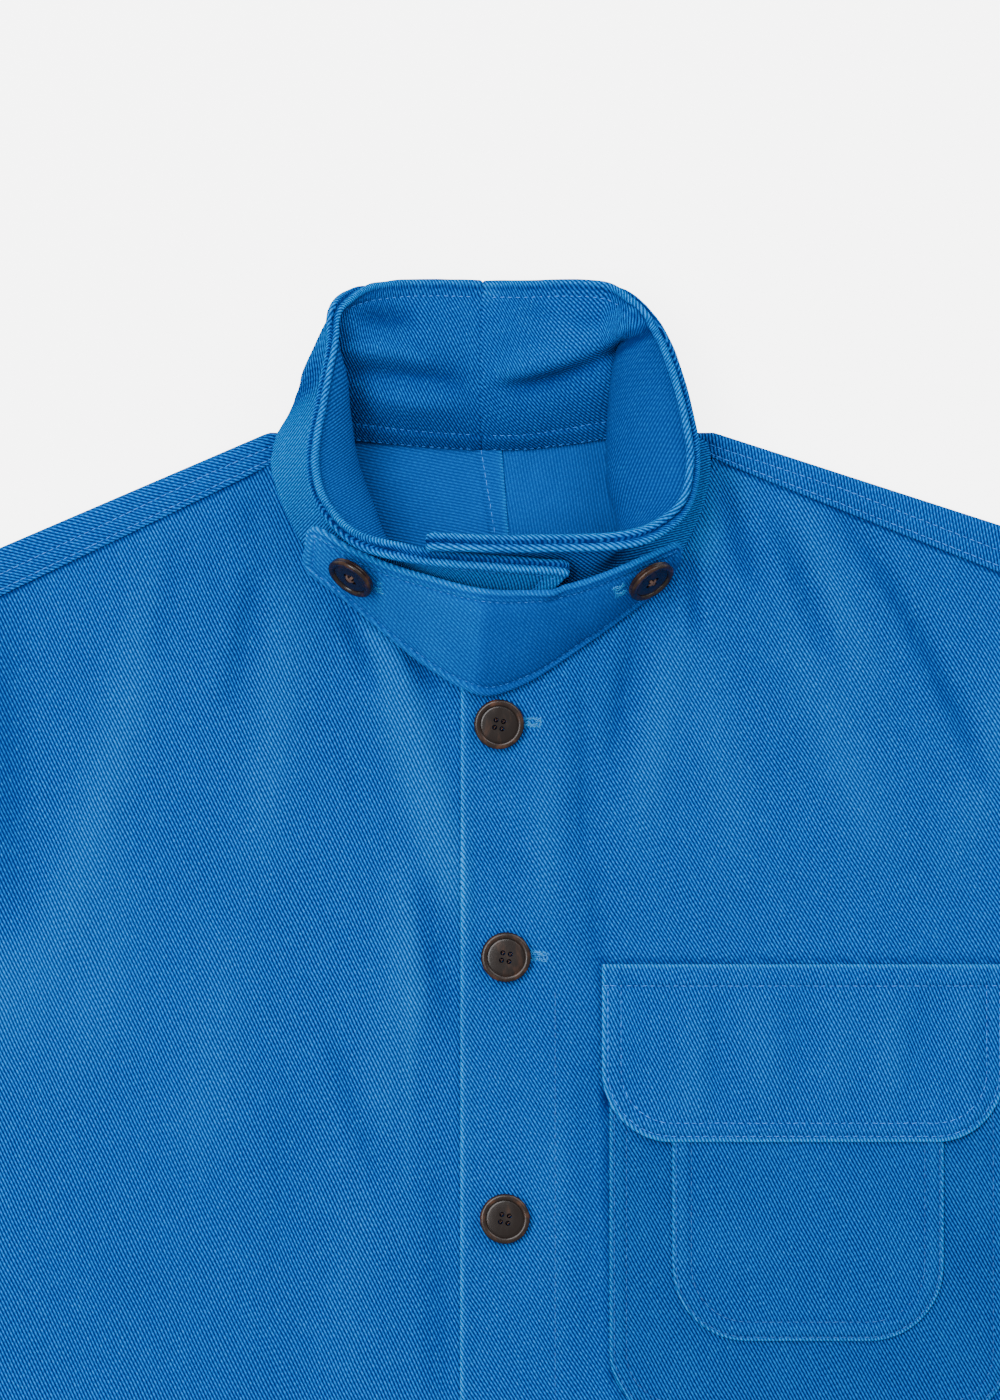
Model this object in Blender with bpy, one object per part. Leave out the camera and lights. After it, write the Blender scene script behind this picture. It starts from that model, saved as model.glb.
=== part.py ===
# Twill chore coat laid flat on its back, collar standing, throat tab and fronts buttoned.
# Plan sizes are millimetres: +X is the wearer's left, +Y runs from hem to collar, +Z is up
# from the table. The plan's zero lies 1 mm beside the centre front, 7 mm above the top button.
# Every piece is made in those millimetres and hung on one empty that centres the coat.

import math

import bmesh
import bpy
import numpy as np
from mathutils import Matrix, Vector
from mathutils.bvhtree import BVHTree

# Cloth and seams
MM = 0.001
CLOTH = 1.2
COLLAR_WALL = 2.4
TAB_WALL = 2.0
SEAM_GAP = 0.35
LAYER_GAP = 0.35
COLLAR_SEAM_GAP = 1.45
SHOULDER_LAP_GAP = 0.6
TAB_GAP = 1.0

# Levels of the middle of the cloth above the table
BACK_LEVEL = CLOTH / 2
FRONT_LEVEL = 4.3
FRONT_EDGE_LEVEL = 2.15
OVERLAP_LIFT = CLOTH + LAYER_GAP + 0.1

# Body
HEM_Y = -600.0
HEM_HALF_WIDTH = 286.0
SHOULDER_X = 241.0
BACK_SEAM_NECK_X = -3.5
BACK_SEAM_HEM_X = 1.2
EDGE_ROLL = 24.0

# The coat lies a little unevenly, so each side has its own shoulder and underarm.
SIDE_COLUMNS = ("sign", "neck_x", "outline_y", "outline_slope", "seam_y", "seam_slope",
                "underarm_x", "underarm_y", "front_edge_x", "step_x", "step_y")
SIDES = {
    "left": dict(zip(SIDE_COLUMNS, (1, 85.2, 106.8, 0.3235, 95.8, 0.394, 289, -190, -15.6, 1.5, 11.9))),
    "right": dict(zip(SIDE_COLUMNS, (-1, 92.2, 106.8, 0.4286, 93.0, 0.481, 291, -205, 18.4, 1.0, 12.8))),
}
LAP_AT_NECK = 5.5
LAP_AT_TIP = 8.0

# Sleeves
SLEEVE_LENGTH = 600.0
SLEEVE_DROP = math.radians(32)
CUFF_WIDTH = 140.0
SLEEVE_INNER_EDGE_LEVEL = 3.6
ARMHOLE_BEND = 2.6

# Rise of the fronts round the neck
NECK_CENTRE = (-4.2, 95.0)
NECK_RADII = (88.6, 78.0)
NECK_RISE = 5.4
NECK_RISE_REACH = 30.0
NECK_RISE_AT_SHOULDER = 0.3

# Where the left front lies over the right one, it is lifted by a layer.
OVERLAP_END_X = 24.0
OVERLAP_FADE = 16.0

# Largest soft folds of the fronts: a ridge where height is above zero, else a trough
FOLD_COLUMNS = ("x0", "y0", "x1", "y1", "bow", "width", "height")
FRONT_FOLDS = [
    (-48, 24, -24, -130, -5, 13, 1.9),
    (-104, 82, -108, -20, 5, 14, -1.3),
    (-144, 70, -160, -60, 4, 18, 1.4),
    (84, 84, 62, 34, -4, 11, -1.8),
    (112, 90, 150, 40, -4, 13, 1.5),
    (160, 60, 186, -10, 5, 15, -1.5),
    (64, 4, 54, -70, 3, 13, 1.3),
    (270, -170, 226, -60, 8, 18, 1.6),
    (-266, -184, -190, -84, -10, 18, 1.7),
    (-240, -260, -170, -360, 8, 22, 1.5),
    (244, -230, 232, -340, -6, 18, 1.2),
    (-70, -430, -90, -560, 6, 22, 1.3),
    (120, -440, 140, -560, -6, 22, 1.3),
]
SLEEVE_FOLDS = [
    (0.02, 0.92, 0.16, 0.30, 0.0, 0.07, 2.0),
    (0.06, 1.00, 0.28, 0.52, 0.03, 0.06, 1.7),
    (0.46, 0.98, 0.58, 0.20, 0.04, 0.05, 1.5),
    (0.52, 0.05, 0.44, 0.70, 0.02, 0.05, 1.2),
    (0.82, 0.10, 0.78, 0.90, 0.02, 0.04, 1.0),
]

# Collar halves: a row for each section from centre back to the collar's end. Each section is
# one curve from the neck seam (seam) by its lower (low) and upper (high) pull to the edge.
COLLAR_COLUMNS = ("seam_x", "seam_y", "seam_z", "low_x", "low_y", "low_z",
                  "high_x", "high_y", "high_z", "edge_x", "edge_y", "edge_z")
COLLAR_RIGHT = [
    (-7.2, 100.8, 1.4, -8.0, 111.0, 18.0, -8.7, 138.0, 27.0, -7.1, 165.5, 14.0),
    (-24.0, 101.6, 1.4, -23.7, 114.0, 20.0, -23.6, 141.7, 28.0, -23.8, 165.8, 15.0),
    (-42.0, 102.8, 1.4, -41.6, 117.0, 18.0, -41.3, 141.6, 30.0, -40.8, 165.4, 19.0),
    (-60.0, 104.0, 1.6, -61.6, 119.0, 12.0, -50.3, 139.6, 31.0, -54.4, 162.3, 27.0),
    (-78.0, 104.0, 2.2, -80.8, 121.0, 4.0, -47.4, 131.0, 25.0, -61.5, 153.5, 37.0),
    (-89.4, 102.4, 3.6, -85.6, 119.0, 4.0, -44.2, 121.6, 25.0, -66.0, 135.9, 44.0),
    (-91.5, 93.5, 6.2, -67.8, 106.9, 6.0, -45.3, 112.0, 26.0, -71.2, 114.8, 49.0),
    (-87.2, 78.5, 7.4, -55.0, 91.7, 8.0, -44.1, 95.3, 28.0, -74.4, 94.1, 51.0),
    (-79.6, 63.7, 8.2, -54.8, 70.6, 15.0, -31.6, 78.9, 25.0, -71.2, 77.8, 50.0),
    (-66.9, 47.8, 8.8, -49.9, 56.2, 23.0, -28.4, 65.1, 26.0, -57.2, 66.6, 48.0),
    (-47.0, 33.4, 9.2, -36.4, 43.5, 22.0, -19.7, 50.4, 27.0, -35.1, 59.6, 47.0),
    (-23.9, 21.9, 9.6, -17.8, 32.4, 20.0, -5.5, 42.6, 27.0, -7.0, 53.4, 46.0),
    (-1.2, 16.3, 10.0, 4.7, 26.9, 19.0, 17.7, 39.3, 30.0, 26.2, 50.0, 44.0),
]
COLLAR_LEFT = [
    (-6.8, 100.8, 1.4, -7.6, 111.0, 18.0, -8.3, 138.0, 27.0, -6.7, 165.5, 14.0),
    (10.0, 101.2, 1.4, 8.7, 109.3, 17.0, 7.9, 137.8, 28.0, 9.9, 165.4, 15.0),
    (27.2, 102.8, 1.4, 24.6, 114.2, 16.0, 23.6, 142.4, 30.0, 27.7, 165.5, 17.0),
    (44.8, 104.8, 1.6, 39.7, 119.1, 13.0, 36.2, 143.5, 30.0, 44.3, 164.0, 21.0),
    (64.0, 104.8, 2.2, 62.0, 122.0, 6.0, 43.4, 140.1, 25.0, 55.6, 156.9, 26.0),
    (81.8, 102.2, 3.6, 68.7, 120.6, 4.5, 38.8, 133.7, 21.0, 63.7, 146.2, 31.0),
    (84.1, 94.6, 6.2, 42.3, 109.7, 6.0, 26.1, 121.9, 19.0, 69.4, 133.0, 35.0),
    (82.5, 82.5, 7.2, 39.9, 93.7, 7.0, 23.7, 106.8, 20.0, 74.4, 115.5, 38.0),
    (78.1, 69.7, 8.0, 40.7, 79.7, 8.0, 24.5, 87.7, 22.0, 77.4, 95.8, 40.0),
    (70.5, 55.7, 8.6, 52.4, 61.5, 15.0, 26.1, 71.1, 24.0, 75.0, 78.9, 42.0),
    (59.3, 43.0, 9.2, 45.9, 50.7, 21.0, 31.6, 60.0, 26.0, 65.6, 68.7, 44.0),
    (42.2, 31.0, 9.8, 34.8, 41.1, 20.0, 26.8, 54.3, 29.0, 48.7, 63.1, 46.0),
    (22.3, 23.9, 10.4, 18.2, 37.2, 18.0, 13.8, 55.1, 28.0, 15.6, 60.9, 48.0),
    (4.0, 21.9, 11.0, -2.4, 34.8, 18.0, -15.0, 56.7, 28.0, -26.5, 61.1, 49.0),
]
NECK_POINT_ROW = 6
COLLAR_BACK_ROW = 5

# Throat tab: a row for each section from the right end to the left, upper and lower edge
TAB_COLUMNS = ("top_x", "top_y", "top_z", "low_x", "low_y", "low_z")
TAB_SECTIONS = [
    (-76.3, 65.3, 20.0, -77.6, 58.6, 11.5),
    (-73.1, 68.7, 25.5, -76.3, 51.7, 10.6),
    (-66.9, 65.8, 30.0, -69.6, 45.7, 9.8),
    (-59.0, 60.5, 33.5, -61.6, 39.6, 9.4),
    (-43.6, 53.7, 36.5, -48.5, 28.2, 9.4),
    (-27.4, 48.8, 37.5, -31.8, 14.7, 9.4),
    (-12.9, 44.8, 38.0, -15.1, 4.6, 10.0),
    (0.0, 43.1, 38.5, -4.0, 1.5, 10.2),
    (15.7, 43.7, 38.0, 11.9, 7.2, 10.2),
    (31.4, 46.8, 36.5, 28.6, 18.0, 9.6),
    (47.0, 52.5, 36.0, 42.9, 28.6, 9.6),
    (58.9, 57.8, 33.5, 54.9, 38.0, 9.6),
    (65.0, 60.5, 30.0, 62.0, 43.7, 9.8),
    (69.5, 62.2, 25.5, 68.4, 51.3, 10.6),
    (71.7, 60.1, 20.0, 71.6, 57.2, 12.0),
]
TAB_BULGE = 2.2

# Chest pocket, patch pocket and flap on the left front
POCKET_COLUMNS = ("x0", "x1", "top_y", "low_y", "corner")
POCKETS = {
    "chest_pocket": dict(zip(POCKET_COLUMNS, (43.6, 203.4, -114.0, -287.0, 27.0))),
    "pocket_patch": dict(zip(POCKET_COLUMNS, (68.6, 176.8, -123.5, -255.4, 30.0))),
    "pocket_flap": dict(zip(POCKET_COLUMNS, (40.6, 201.4, -105.2, -176.0, 28.0))),
}
FLAP_MARGIN = 9.0
FLAP_SPREAD = 10.0

# Laying one piece over others: how far out the search starts, and how often it is repeated
LAYING_REACH = 40.0
LAYING_ROUNDS = 4

# Buttons
BUTTON_PROFILE = ((8.8, 0.0), (10.0, 1.3), (9.5, 3.2), (8.1, 3.4), (7.1, 2.5))
BUTTON_SIDES = 20
BUTTON_HOLE_RADIUS = 0.95
BUTTON_HOLE_OFFSET = 1.45
BUTTON_HOLE_SIDES = 6
BUTTON_STAND = 0.6
FRONT_BUTTONS = ((-0.4, -9.3), (2.4, -102.3), (2.0, -206.4), (1.8, -311.0), (1.6, -415.5))
TAB_BUTTON_COLUMNS = ("station", "drop", "heading")
TAB_BUTTONS = {
    "tab_button_right": (3.3, 0.26, -126),
    "tab_button_left": (10.95, 0.32, -54),
}
TAB_BUTTON_TILT = 54
TAB_BUTTON_STAND = 0.3
TAB_BUTTON_FOOT = 6.2

# Finishes: colour, roughness
BLUE_TWILL = ((0.006, 0.17, 0.50), 0.85)
BLUE_TWILL_DEEP = ((0.005, 0.13, 0.44), 0.85)
DARK_HORN = ((0.03, 0.022, 0.018), 0.3)


def smooth_step(value):
    """Rises softly from 0 to 1 as value goes from 0 to 1."""
    t = np.clip(value, 0.0, 1.0)
    return t * t * (3 - 2 * t)


def along_rows(table, station):
    """A table's row at a fractional station, on a smooth curve through the rows."""
    rows = np.array(table, dtype=float)
    rows = np.vstack([2 * rows[0] - rows[1], rows, 2 * rows[-1] - rows[-2]])
    station = np.clip(np.asarray(station, dtype=float), 0, len(table) - 1)
    cell = np.minimum(station.astype(int), len(table) - 2)
    t = (station - cell)[..., None]
    a, b, c, d = (rows[cell + k] for k in range(4))
    return b + 0.5 * t * (c - a + t * (2 * a - 5 * b + 4 * c - d + t * (3 * b - 3 * c + d - a)))


def fold_height(x, y, folds):
    """Height that a list of soft folds adds at a place."""
    total = np.zeros(np.broadcast(x, y).shape)
    for row in folds:
        fold = dict(zip(FOLD_COLUMNS, row))
        run = np.array([fold["x1"] - fold["x0"], fold["y1"] - fold["y0"]])
        length = math.hypot(*run)
        t = ((x - fold["x0"]) * run[0] + (y - fold["y0"]) * run[1]) / length ** 2
        aside = ((y - fold["y0"]) * run[0] - (x - fold["x0"]) * run[1]) / length
        inside = np.clip(t, 0, 1)
        off = aside - fold["bow"] * 4 * inside * (1 - inside)
        past = (t - inside) * length
        taper = 0.15 + 0.85 * np.sin(math.pi * inside) ** 0.7
        total = total + fold["height"] * taper * np.exp(-(off ** 2 + past ** 2) / fold["width"] ** 2)
    return total


def armhole_point(side, depth):
    """Plan point of the armhole, from the shoulder's outline (0) to the underarm (1)."""
    tip_y = outline_y(side, SHOULDER_X)
    x = SHOULDER_X + (side["underarm_x"] - SHOULDER_X) * depth ** ARMHOLE_BEND
    return side["sign"] * x, tip_y + (side["underarm_y"] - tip_y) * depth


def side_seam_x(side, y):
    """How far the side seam lies from the plan's middle at a height."""
    drop = (side["underarm_y"] - y) / (side["underarm_y"] - HEM_Y)
    return side["underarm_x"] + (HEM_HALF_WIDTH - side["underarm_x"]) * np.clip(drop, 0, 1)


def outline_y(side, x):
    """The shoulder's outline, where the back turns over."""
    return side["outline_y"] - side["outline_slope"] * (abs(x) - side["neck_x"])


def shoulder_seam_y(side, x):
    """The edge of the back where it laps over the front."""
    return side["seam_y"] - side["seam_slope"] * (abs(x) - side["neck_x"])


def neck_rise(x, y):
    """How far the fronts are lifted towards the neck seam."""
    across = (x - NECK_CENTRE[0]) / NECK_RADII[0]
    along = (y - NECK_CENTRE[1]) / NECK_RADII[1]
    distance = np.maximum(np.hypot(across, along) - 0.95, 0) * NECK_RADII[1]
    forward = smooth_step(-along)
    share = NECK_RISE_AT_SHOULDER + (1 - NECK_RISE_AT_SHOULDER) * forward
    return NECK_RISE * share * np.exp(-(distance / NECK_RISE_REACH) ** 1.5)


def front_level(side, x, y):
    """Middle of a front panel's cloth, without the lift of the overlap."""
    x, y = np.asarray(x, dtype=float), np.asarray(y, dtype=float)
    from_side = side_seam_x(side, y) - np.abs(x) + 1.2 * np.maximum(y - side["underarm_y"], 0)
    from_hem = y - HEM_Y
    full = smooth_step(from_side / EDGE_ROLL) * smooth_step(from_hem / EDGE_ROLL)
    level = FRONT_EDGE_LEVEL + (FRONT_LEVEL - FRONT_EDGE_LEVEL) * full + neck_rise(x, y)
    return level + full * fold_height(x, y, FRONT_FOLDS)


def overlap_lift(x):
    """Lift of the left front over the right one."""
    return OVERLAP_LIFT * (1 - smooth_step((np.asarray(x) - OVERLAP_END_X) / OVERLAP_FADE))


def left_front_level(x, y):
    return front_level(SIDES["left"], x, y) + overlap_lift(x)


def right_front_level(x, y):
    return front_level(SIDES["right"], x, y)


def collar_point(table, station, height):
    """Middle of the collar's wall: height 0 is the neck seam and 1 the collar's edge."""
    row = along_rows(table, station)
    seam, low, high, edge = (row[..., k:k + 3] for k in (0, 3, 6, 9))
    h = np.asarray(height, dtype=float)[..., None]
    g = 1 - h
    return seam * g ** 3 + low * 3 * g * g * h + high * 3 * g * h * h + edge * h ** 3


def neck_seam_point(table, station, gap):
    """Plan point of a panel's neck edge, a seam's gap outside the collar."""
    seam = collar_point(table, station, 0.0)
    above = collar_point(table, station, 0.05)
    away = (seam - above) / np.linalg.norm(seam - above)
    point = seam + away * gap
    return point[0], point[1]


def make_material(name, colour, roughness):
    material = bpy.data.materials.new(name)
    material.use_nodes = True
    shader = material.node_tree.nodes["Principled BSDF"]
    shader.inputs["Base Color"].default_value = (*colour, 1)
    shader.inputs["Roughness"].default_value = roughness
    shader.inputs["Metallic"].default_value = 0.0
    material.diffuse_color = (*colour, 1)
    return material


def add_object(name, mesh, material, parent):
    """Puts a mesh in the scene as one piece of the coat, with its own material."""
    mesh.materials.clear()
    mesh.materials.append(make_material(name, *material))
    mesh.shade_smooth()
    mesh.set_sharp_from_angle(angle=math.radians(40))
    piece = bpy.data.objects.new(name, mesh)
    bpy.context.collection.objects.link(piece)
    piece.parent = parent
    return piece


def point_normals(points, faces):
    """A normal for each point, from the faces round it."""
    normals = np.zeros_like(points)
    for face in faces:
        a, b, c, d = (points[i] for i in face)
        across = np.cross(c - a, d - b)
        for i in face:
            normals[i] += across
    return normals / np.linalg.norm(normals, axis=1)[:, None]


def cloth_mesh(name, points, faces, thickness):
    """Closed wall of an even thickness about a sheet of four-sided faces, never below 0."""
    points = np.array(points, dtype=float)
    normals = point_normals(points, faces)
    upper = points + normals * thickness / 2
    lower = points - normals * thickness / 2
    walls = np.vstack([upper, lower])
    walls[:, 2] = np.maximum(walls[:, 2], 0.0)
    count = len(points)
    sides = {}
    for face in faces:
        for a, b in zip(face, face[1:] + face[:1]):
            if (b, a) in sides:
                del sides[(b, a)]
            else:
                sides[(a, b)] = (b, a, a + count, b + count)
    below = [tuple(i + count for i in reversed(face)) for face in faces]
    mesh = bpy.data.meshes.new(name)
    mesh.from_pydata((walls * MM).tolist(), [], list(faces) + below + list(sides.values()))
    mesh.validate()
    return mesh


def grid_faces(columns, rows, flip, closed=False):
    """Faces of a sheet whose points run row by row; closed joins the last column to the first."""
    faces = []
    for row in range(rows - 1):
        for column in range(columns if closed else columns - 1):
            beside = (column + 1) % columns
            face = (row * columns + column, row * columns + beside,
                    (row + 1) * columns + beside, (row + 1) * columns + column)
            faces.append(tuple(reversed(face)) if flip else face)
    return faces


def surface_tree(pieces):
    """One search tree over the outsides of some pieces, in plan millimetres."""
    points, faces = [], []
    for piece in pieces:
        start = len(points)
        points += [vertex.co / MM for vertex in piece.data.vertices]
        faces += [[start + i for i in polygon.vertices] for polygon in piece.data.polygons]
    return BVHTree.FromPolygons(points, faces)


def lay_over(points, faces, carriers, clearance):
    """Moves a sheet out along its own normals until it lies clear of its carriers."""
    tree = surface_tree(carriers)
    points = np.array(points, dtype=float)
    groups = [(i,) for i in range(len(points))] + list(faces)
    groups += [pair for face in faces for pair in zip(face, face[1:] + face[:1])]
    for _ in range(LAYING_ROUNDS):
        normals = point_normals(points, faces)
        lifts = np.zeros(len(points))
        for group in groups:
            group = list(group)
            normal = Vector(normals[group].mean(axis=0)).normalized()
            start = Vector(points[group].mean(axis=0)) + normal * LAYING_REACH
            distance = tree.ray_cast(start, -normal, LAYING_REACH + clearance)[3]
            if distance is not None:
                lifts[group] = np.maximum(lifts[group], LAYING_REACH + clearance - distance)
        points += normals * lifts[:, None]
    return points


def top_level(tree, x, y):
    """Height of the topmost surface at a place, or nothing."""
    hit = tree.ray_cast(Vector((x, y, 2 * LAYING_REACH)), Vector((0, 0, -1)))[0]
    return None if hit is None else hit.z


ARMHOLE_DEPTHS = (0.10, 0.14, 0.20, 0.28, 0.40, 0.52, 0.64, 0.76, 0.88, 1.0)
SIDE_DEPTHS = (0.16, 0.33, 0.50, 0.67, 0.84, 1.0)


def side_edge(side):
    """Plan points of a panel's outer edge, down the armhole and the side seam."""
    points = [armhole_point(side, depth) for depth in ARMHOLE_DEPTHS]
    for depth in SIDE_DEPTHS:
        y = side["underarm_y"] + (HEM_Y - side["underarm_y"]) * depth
        points.append((side["sign"] * float(side_seam_x(side, y)), y))
    return points


def panel_rows(side, tops, hem_xs):
    """Plan points of a panel, row by row: tops lead down to the hem, the last to the side edge."""
    edge = [tops[-1]] + side_edge(side)
    top_y = edge[0][1]
    rows = []
    for edge_x, edge_y in edge:
        share = (top_y - edge_y) / (top_y - HEM_Y)
        straight_x = tops[-1][0] + (hem_xs[-1] - tops[-1][0]) * share
        row = []
        for column, (x, y) in enumerate(tops):
            reach = (column / (len(tops) - 1)) ** 3
            row.append((x + (hem_xs[column] - x) * share + reach * (edge_x - straight_x),
                        y + (HEM_Y - y) * share))
        rows.append(row)
    return rows


def make_front(name, side, table, level, carriers, parent):
    """Front panel: its top runs from the front edge round the neck and along the shoulder."""
    sign = side["sign"]
    last = len(table) - 1
    tops = [(side["front_edge_x"], side["step_y"] - 0.4), (side["step_x"], side["step_y"])]
    start_x, start_y = neck_seam_point(table, last, COLLAR_SEAM_GAP)
    tops.append((start_x, start_y - 0.4))
    for station in np.linspace(last - 0.5, NECK_POINT_ROW, 11):
        tops.append(neck_seam_point(table, station, COLLAR_SEAM_GAP))
    for share in np.linspace(0, 1, 8):
        x = side["neck_x"] + 0.8 + (SHOULDER_X - side["neck_x"] - 0.8) * share
        lap = LAP_AT_NECK + (LAP_AT_TIP - LAP_AT_NECK) * share
        tops.append((sign * x, shoulder_seam_y(side, x) + lap))
    hem_edge = side["front_edge_x"] - 0.8 * sign
    even = np.linspace(hem_edge, sign * HEM_HALF_WIDTH, len(tops))
    spread = [x * HEM_HALF_WIDTH / SHOULDER_X for x, _ in tops]
    hem_xs = [0.45 * a + 0.55 * b for a, b in zip(spread, even)]
    hem_xs[0] = hem_edge
    hem_xs[-1] = sign * HEM_HALF_WIDTH
    plan = np.array(panel_rows(side, tops, hem_xs)).reshape(-1, 2)
    points = np.column_stack([plan, level(plan[:, 0], plan[:, 1])])
    faces = grid_faces(len(tops), len(points) // len(tops), flip=sign > 0)
    if carriers:
        points = lay_over(points, faces, carriers, CLOTH / 2 + LAYER_GAP)
    return add_object(name, cloth_mesh(name, points, faces, CLOTH), BLUE_TWILL, parent)


def shoulder_roll(side, x, front_tree):
    """Points of the back over the shoulder at x, from its lapped edge to the flat back."""
    lap_y = float(shoulder_seam_y(side, x))
    out_y = float(outline_y(side, x))
    stand = SHOULDER_LAP_GAP + CLOTH / 2
    lap_top = top_level(front_tree, x, lap_y) + stand
    edge_y = lap_y + LAP_AT_NECK - CLOTH
    edge_top = top_level(front_tree, x, edge_y) + stand
    top = max(lap_top, edge_top)
    radius = (top - BACK_LEVEL) / 2
    turn_y = max(out_y - radius - CLOTH / 2, edge_y + 1)
    points = [(x, lap_y, lap_top), (x, edge_y, edge_top), (x, turn_y, top)]
    for angle in (45, 90, 135):
        turn = math.radians(angle)
        points.append((x, turn_y + radius * math.sin(turn), BACK_LEVEL + radius * (1 + math.cos(turn))))
    return points, (x, turn_y)


def make_back(name, side, table, front, parent):
    """Back panel: flat on the table, and turned over the shoulder to lap on the front."""
    sign = side["sign"]
    front_tree = surface_tree([front])
    seam_half_gap = SEAM_GAP / 2
    tops = []
    for station in (0, 1, 2, 3, 4, COLLAR_BACK_ROW - 0.1):
        x, y = neck_seam_point(table, station, 0.0)
        tops.append((x, y - 0.5))
    middle_y = tops[0][1]
    tops[0] = (BACK_SEAM_NECK_X + sign * seam_half_gap, middle_y)
    if sign < 0:
        tops[1] = ((tops[0][0] + tops[2][0]) / 2, tops[1][1])
    neck_columns = len(tops)
    rolls = []
    for share in np.linspace(0, 1, 6):
        x = side["neck_x"] + 1.2 + (SHOULDER_X - side["neck_x"] - 1.6) * share
        roll, flat_start = shoulder_roll(side, sign * x, front_tree)
        rolls.append(roll)
        tops.append(flat_start)
    hem_xs = [x * HEM_HALF_WIDTH / SHOULDER_X for x, _ in tops]
    hem_xs[0] = BACK_SEAM_HEM_X + sign * seam_half_gap
    hem_xs[-1] = sign * HEM_HALF_WIDTH
    rows = panel_rows(side, tops, hem_xs)
    flat = [(x, y, BACK_LEVEL) for row in rows for x, y in row]
    columns = len(tops)
    faces = grid_faces(columns, len(rows), flip=sign > 0)
    points = list(flat)
    roll_start = len(points)
    roll_rows = len(rolls[0])
    for row in range(roll_rows):
        points += [roll[row] for roll in rolls]
    width = len(rolls)

    def index(row, column):
        if row == roll_rows:
            return neck_columns + column
        return roll_start + row * width + column

    for row in range(roll_rows):
        for column in range(width - 1):
            face = (index(row, column), index(row, column + 1),
                    index(row + 1, column + 1), index(row + 1, column))
            faces.append(tuple(reversed(face)) if sign > 0 else face)
    return add_object(name, cloth_mesh(name, points, faces, CLOTH), BLUE_TWILL_DEEP, parent)


def make_collar(name, table, flip, parent):
    """Half of the standing collar, from centre back to its end at the throat."""
    stations = np.linspace(0, len(table) - 1, 2 * len(table) - 1)
    heights = np.array([0.0, 0.14, 0.28, 0.42, 0.56, 0.7, 0.85, 1.0])
    grid_s, grid_h = np.meshgrid(stations, heights)
    points = collar_point(table, grid_s.ravel(), grid_h.ravel())
    faces = grid_faces(len(stations), len(heights), flip)
    return add_object(name, cloth_mesh(name, points, faces, COLLAR_WALL), BLUE_TWILL, parent)


def tab_point(station, drop):
    """Middle of the tab's wall: drop 0 is its upper edge and 1 its lower edge."""
    row = along_rows(TAB_SECTIONS, station)
    top, low = row[..., :3], row[..., 3:]
    drop = np.asarray(drop, dtype=float)[..., None]
    bulge = TAB_BULGE * 4 * drop * (1 - drop)
    return top + (low - top) * drop + bulge * np.array([0.0, -0.7, 0.7])


def make_tab(carriers, parent):
    """Throat tab, laid over the collar's front and the tops of the fronts."""
    stations = np.linspace(0, len(TAB_SECTIONS) - 1, 19)
    drops = np.linspace(0, 1, 6)
    grid_s, grid_d = np.meshgrid(stations, drops)
    points = tab_point(grid_s.ravel(), grid_d.ravel())
    faces = grid_faces(len(stations), len(drops), flip=True)
    points = lay_over(points, faces, carriers, TAB_WALL / 2 + TAB_GAP)
    return add_object("throat_tab", cloth_mesh("throat_tab", points, faces, TAB_WALL), BLUE_TWILL, parent)


def pocket_plan(pocket, columns):
    """Plan points of a pocket piece with two round lower corners, row by row."""
    corner = pocket["corner"]
    straight = pocket["top_y"] - pocket["low_y"] - corner
    drops = [(straight * k / 4, 0.0) for k in range(4)]
    for angle in np.linspace(0, math.pi / 2, 6):
        drops.append((straight + corner * math.sin(angle), corner * (1 - math.cos(angle))))
    rows = []
    for drop, inset in drops:
        xs = np.linspace(pocket["x0"] + inset, pocket["x1"] - inset, columns)
        rows.append([(x, pocket["top_y"] - drop) for x in xs])
    return rows


def flap_lift(x, y):
    """Extra height of the flap where the patch pocket lies under it."""
    patch = POCKETS["pocket_patch"]
    beside = np.maximum(patch["x0"] - x, x - patch["x1"])
    past = np.maximum(beside, y - patch["top_y"]) - FLAP_MARGIN
    return (CLOTH + LAYER_GAP) * (1 - smooth_step(past / FLAP_SPREAD))


def pocket_level(name, x, y):
    """Middle of a pocket piece: each lies a layer above what carries it."""
    layer = CLOTH + LAYER_GAP
    if name == "chest_pocket":
        return left_front_level(x, y) + layer
    if name == "pocket_patch":
        return left_front_level(x, y) + 2 * layer
    return left_front_level(x, y) + 2 * layer + flap_lift(x, y)


def make_pocket_piece(name, columns, carriers, parent):
    """Pocket, patch or flap, laid over what carries it."""
    rows = pocket_plan(POCKETS[name], columns)
    plan = np.array(rows).reshape(-1, 2)
    points = np.column_stack([plan, pocket_level(name, plan[:, 0], plan[:, 1])])
    faces = grid_faces(columns, len(rows), flip=True)
    points = lay_over(points, faces, carriers, CLOTH / 2 + LAYER_GAP)
    return add_object(name, cloth_mesh(name, points, faces, CLOTH), BLUE_TWILL, parent)


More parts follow.
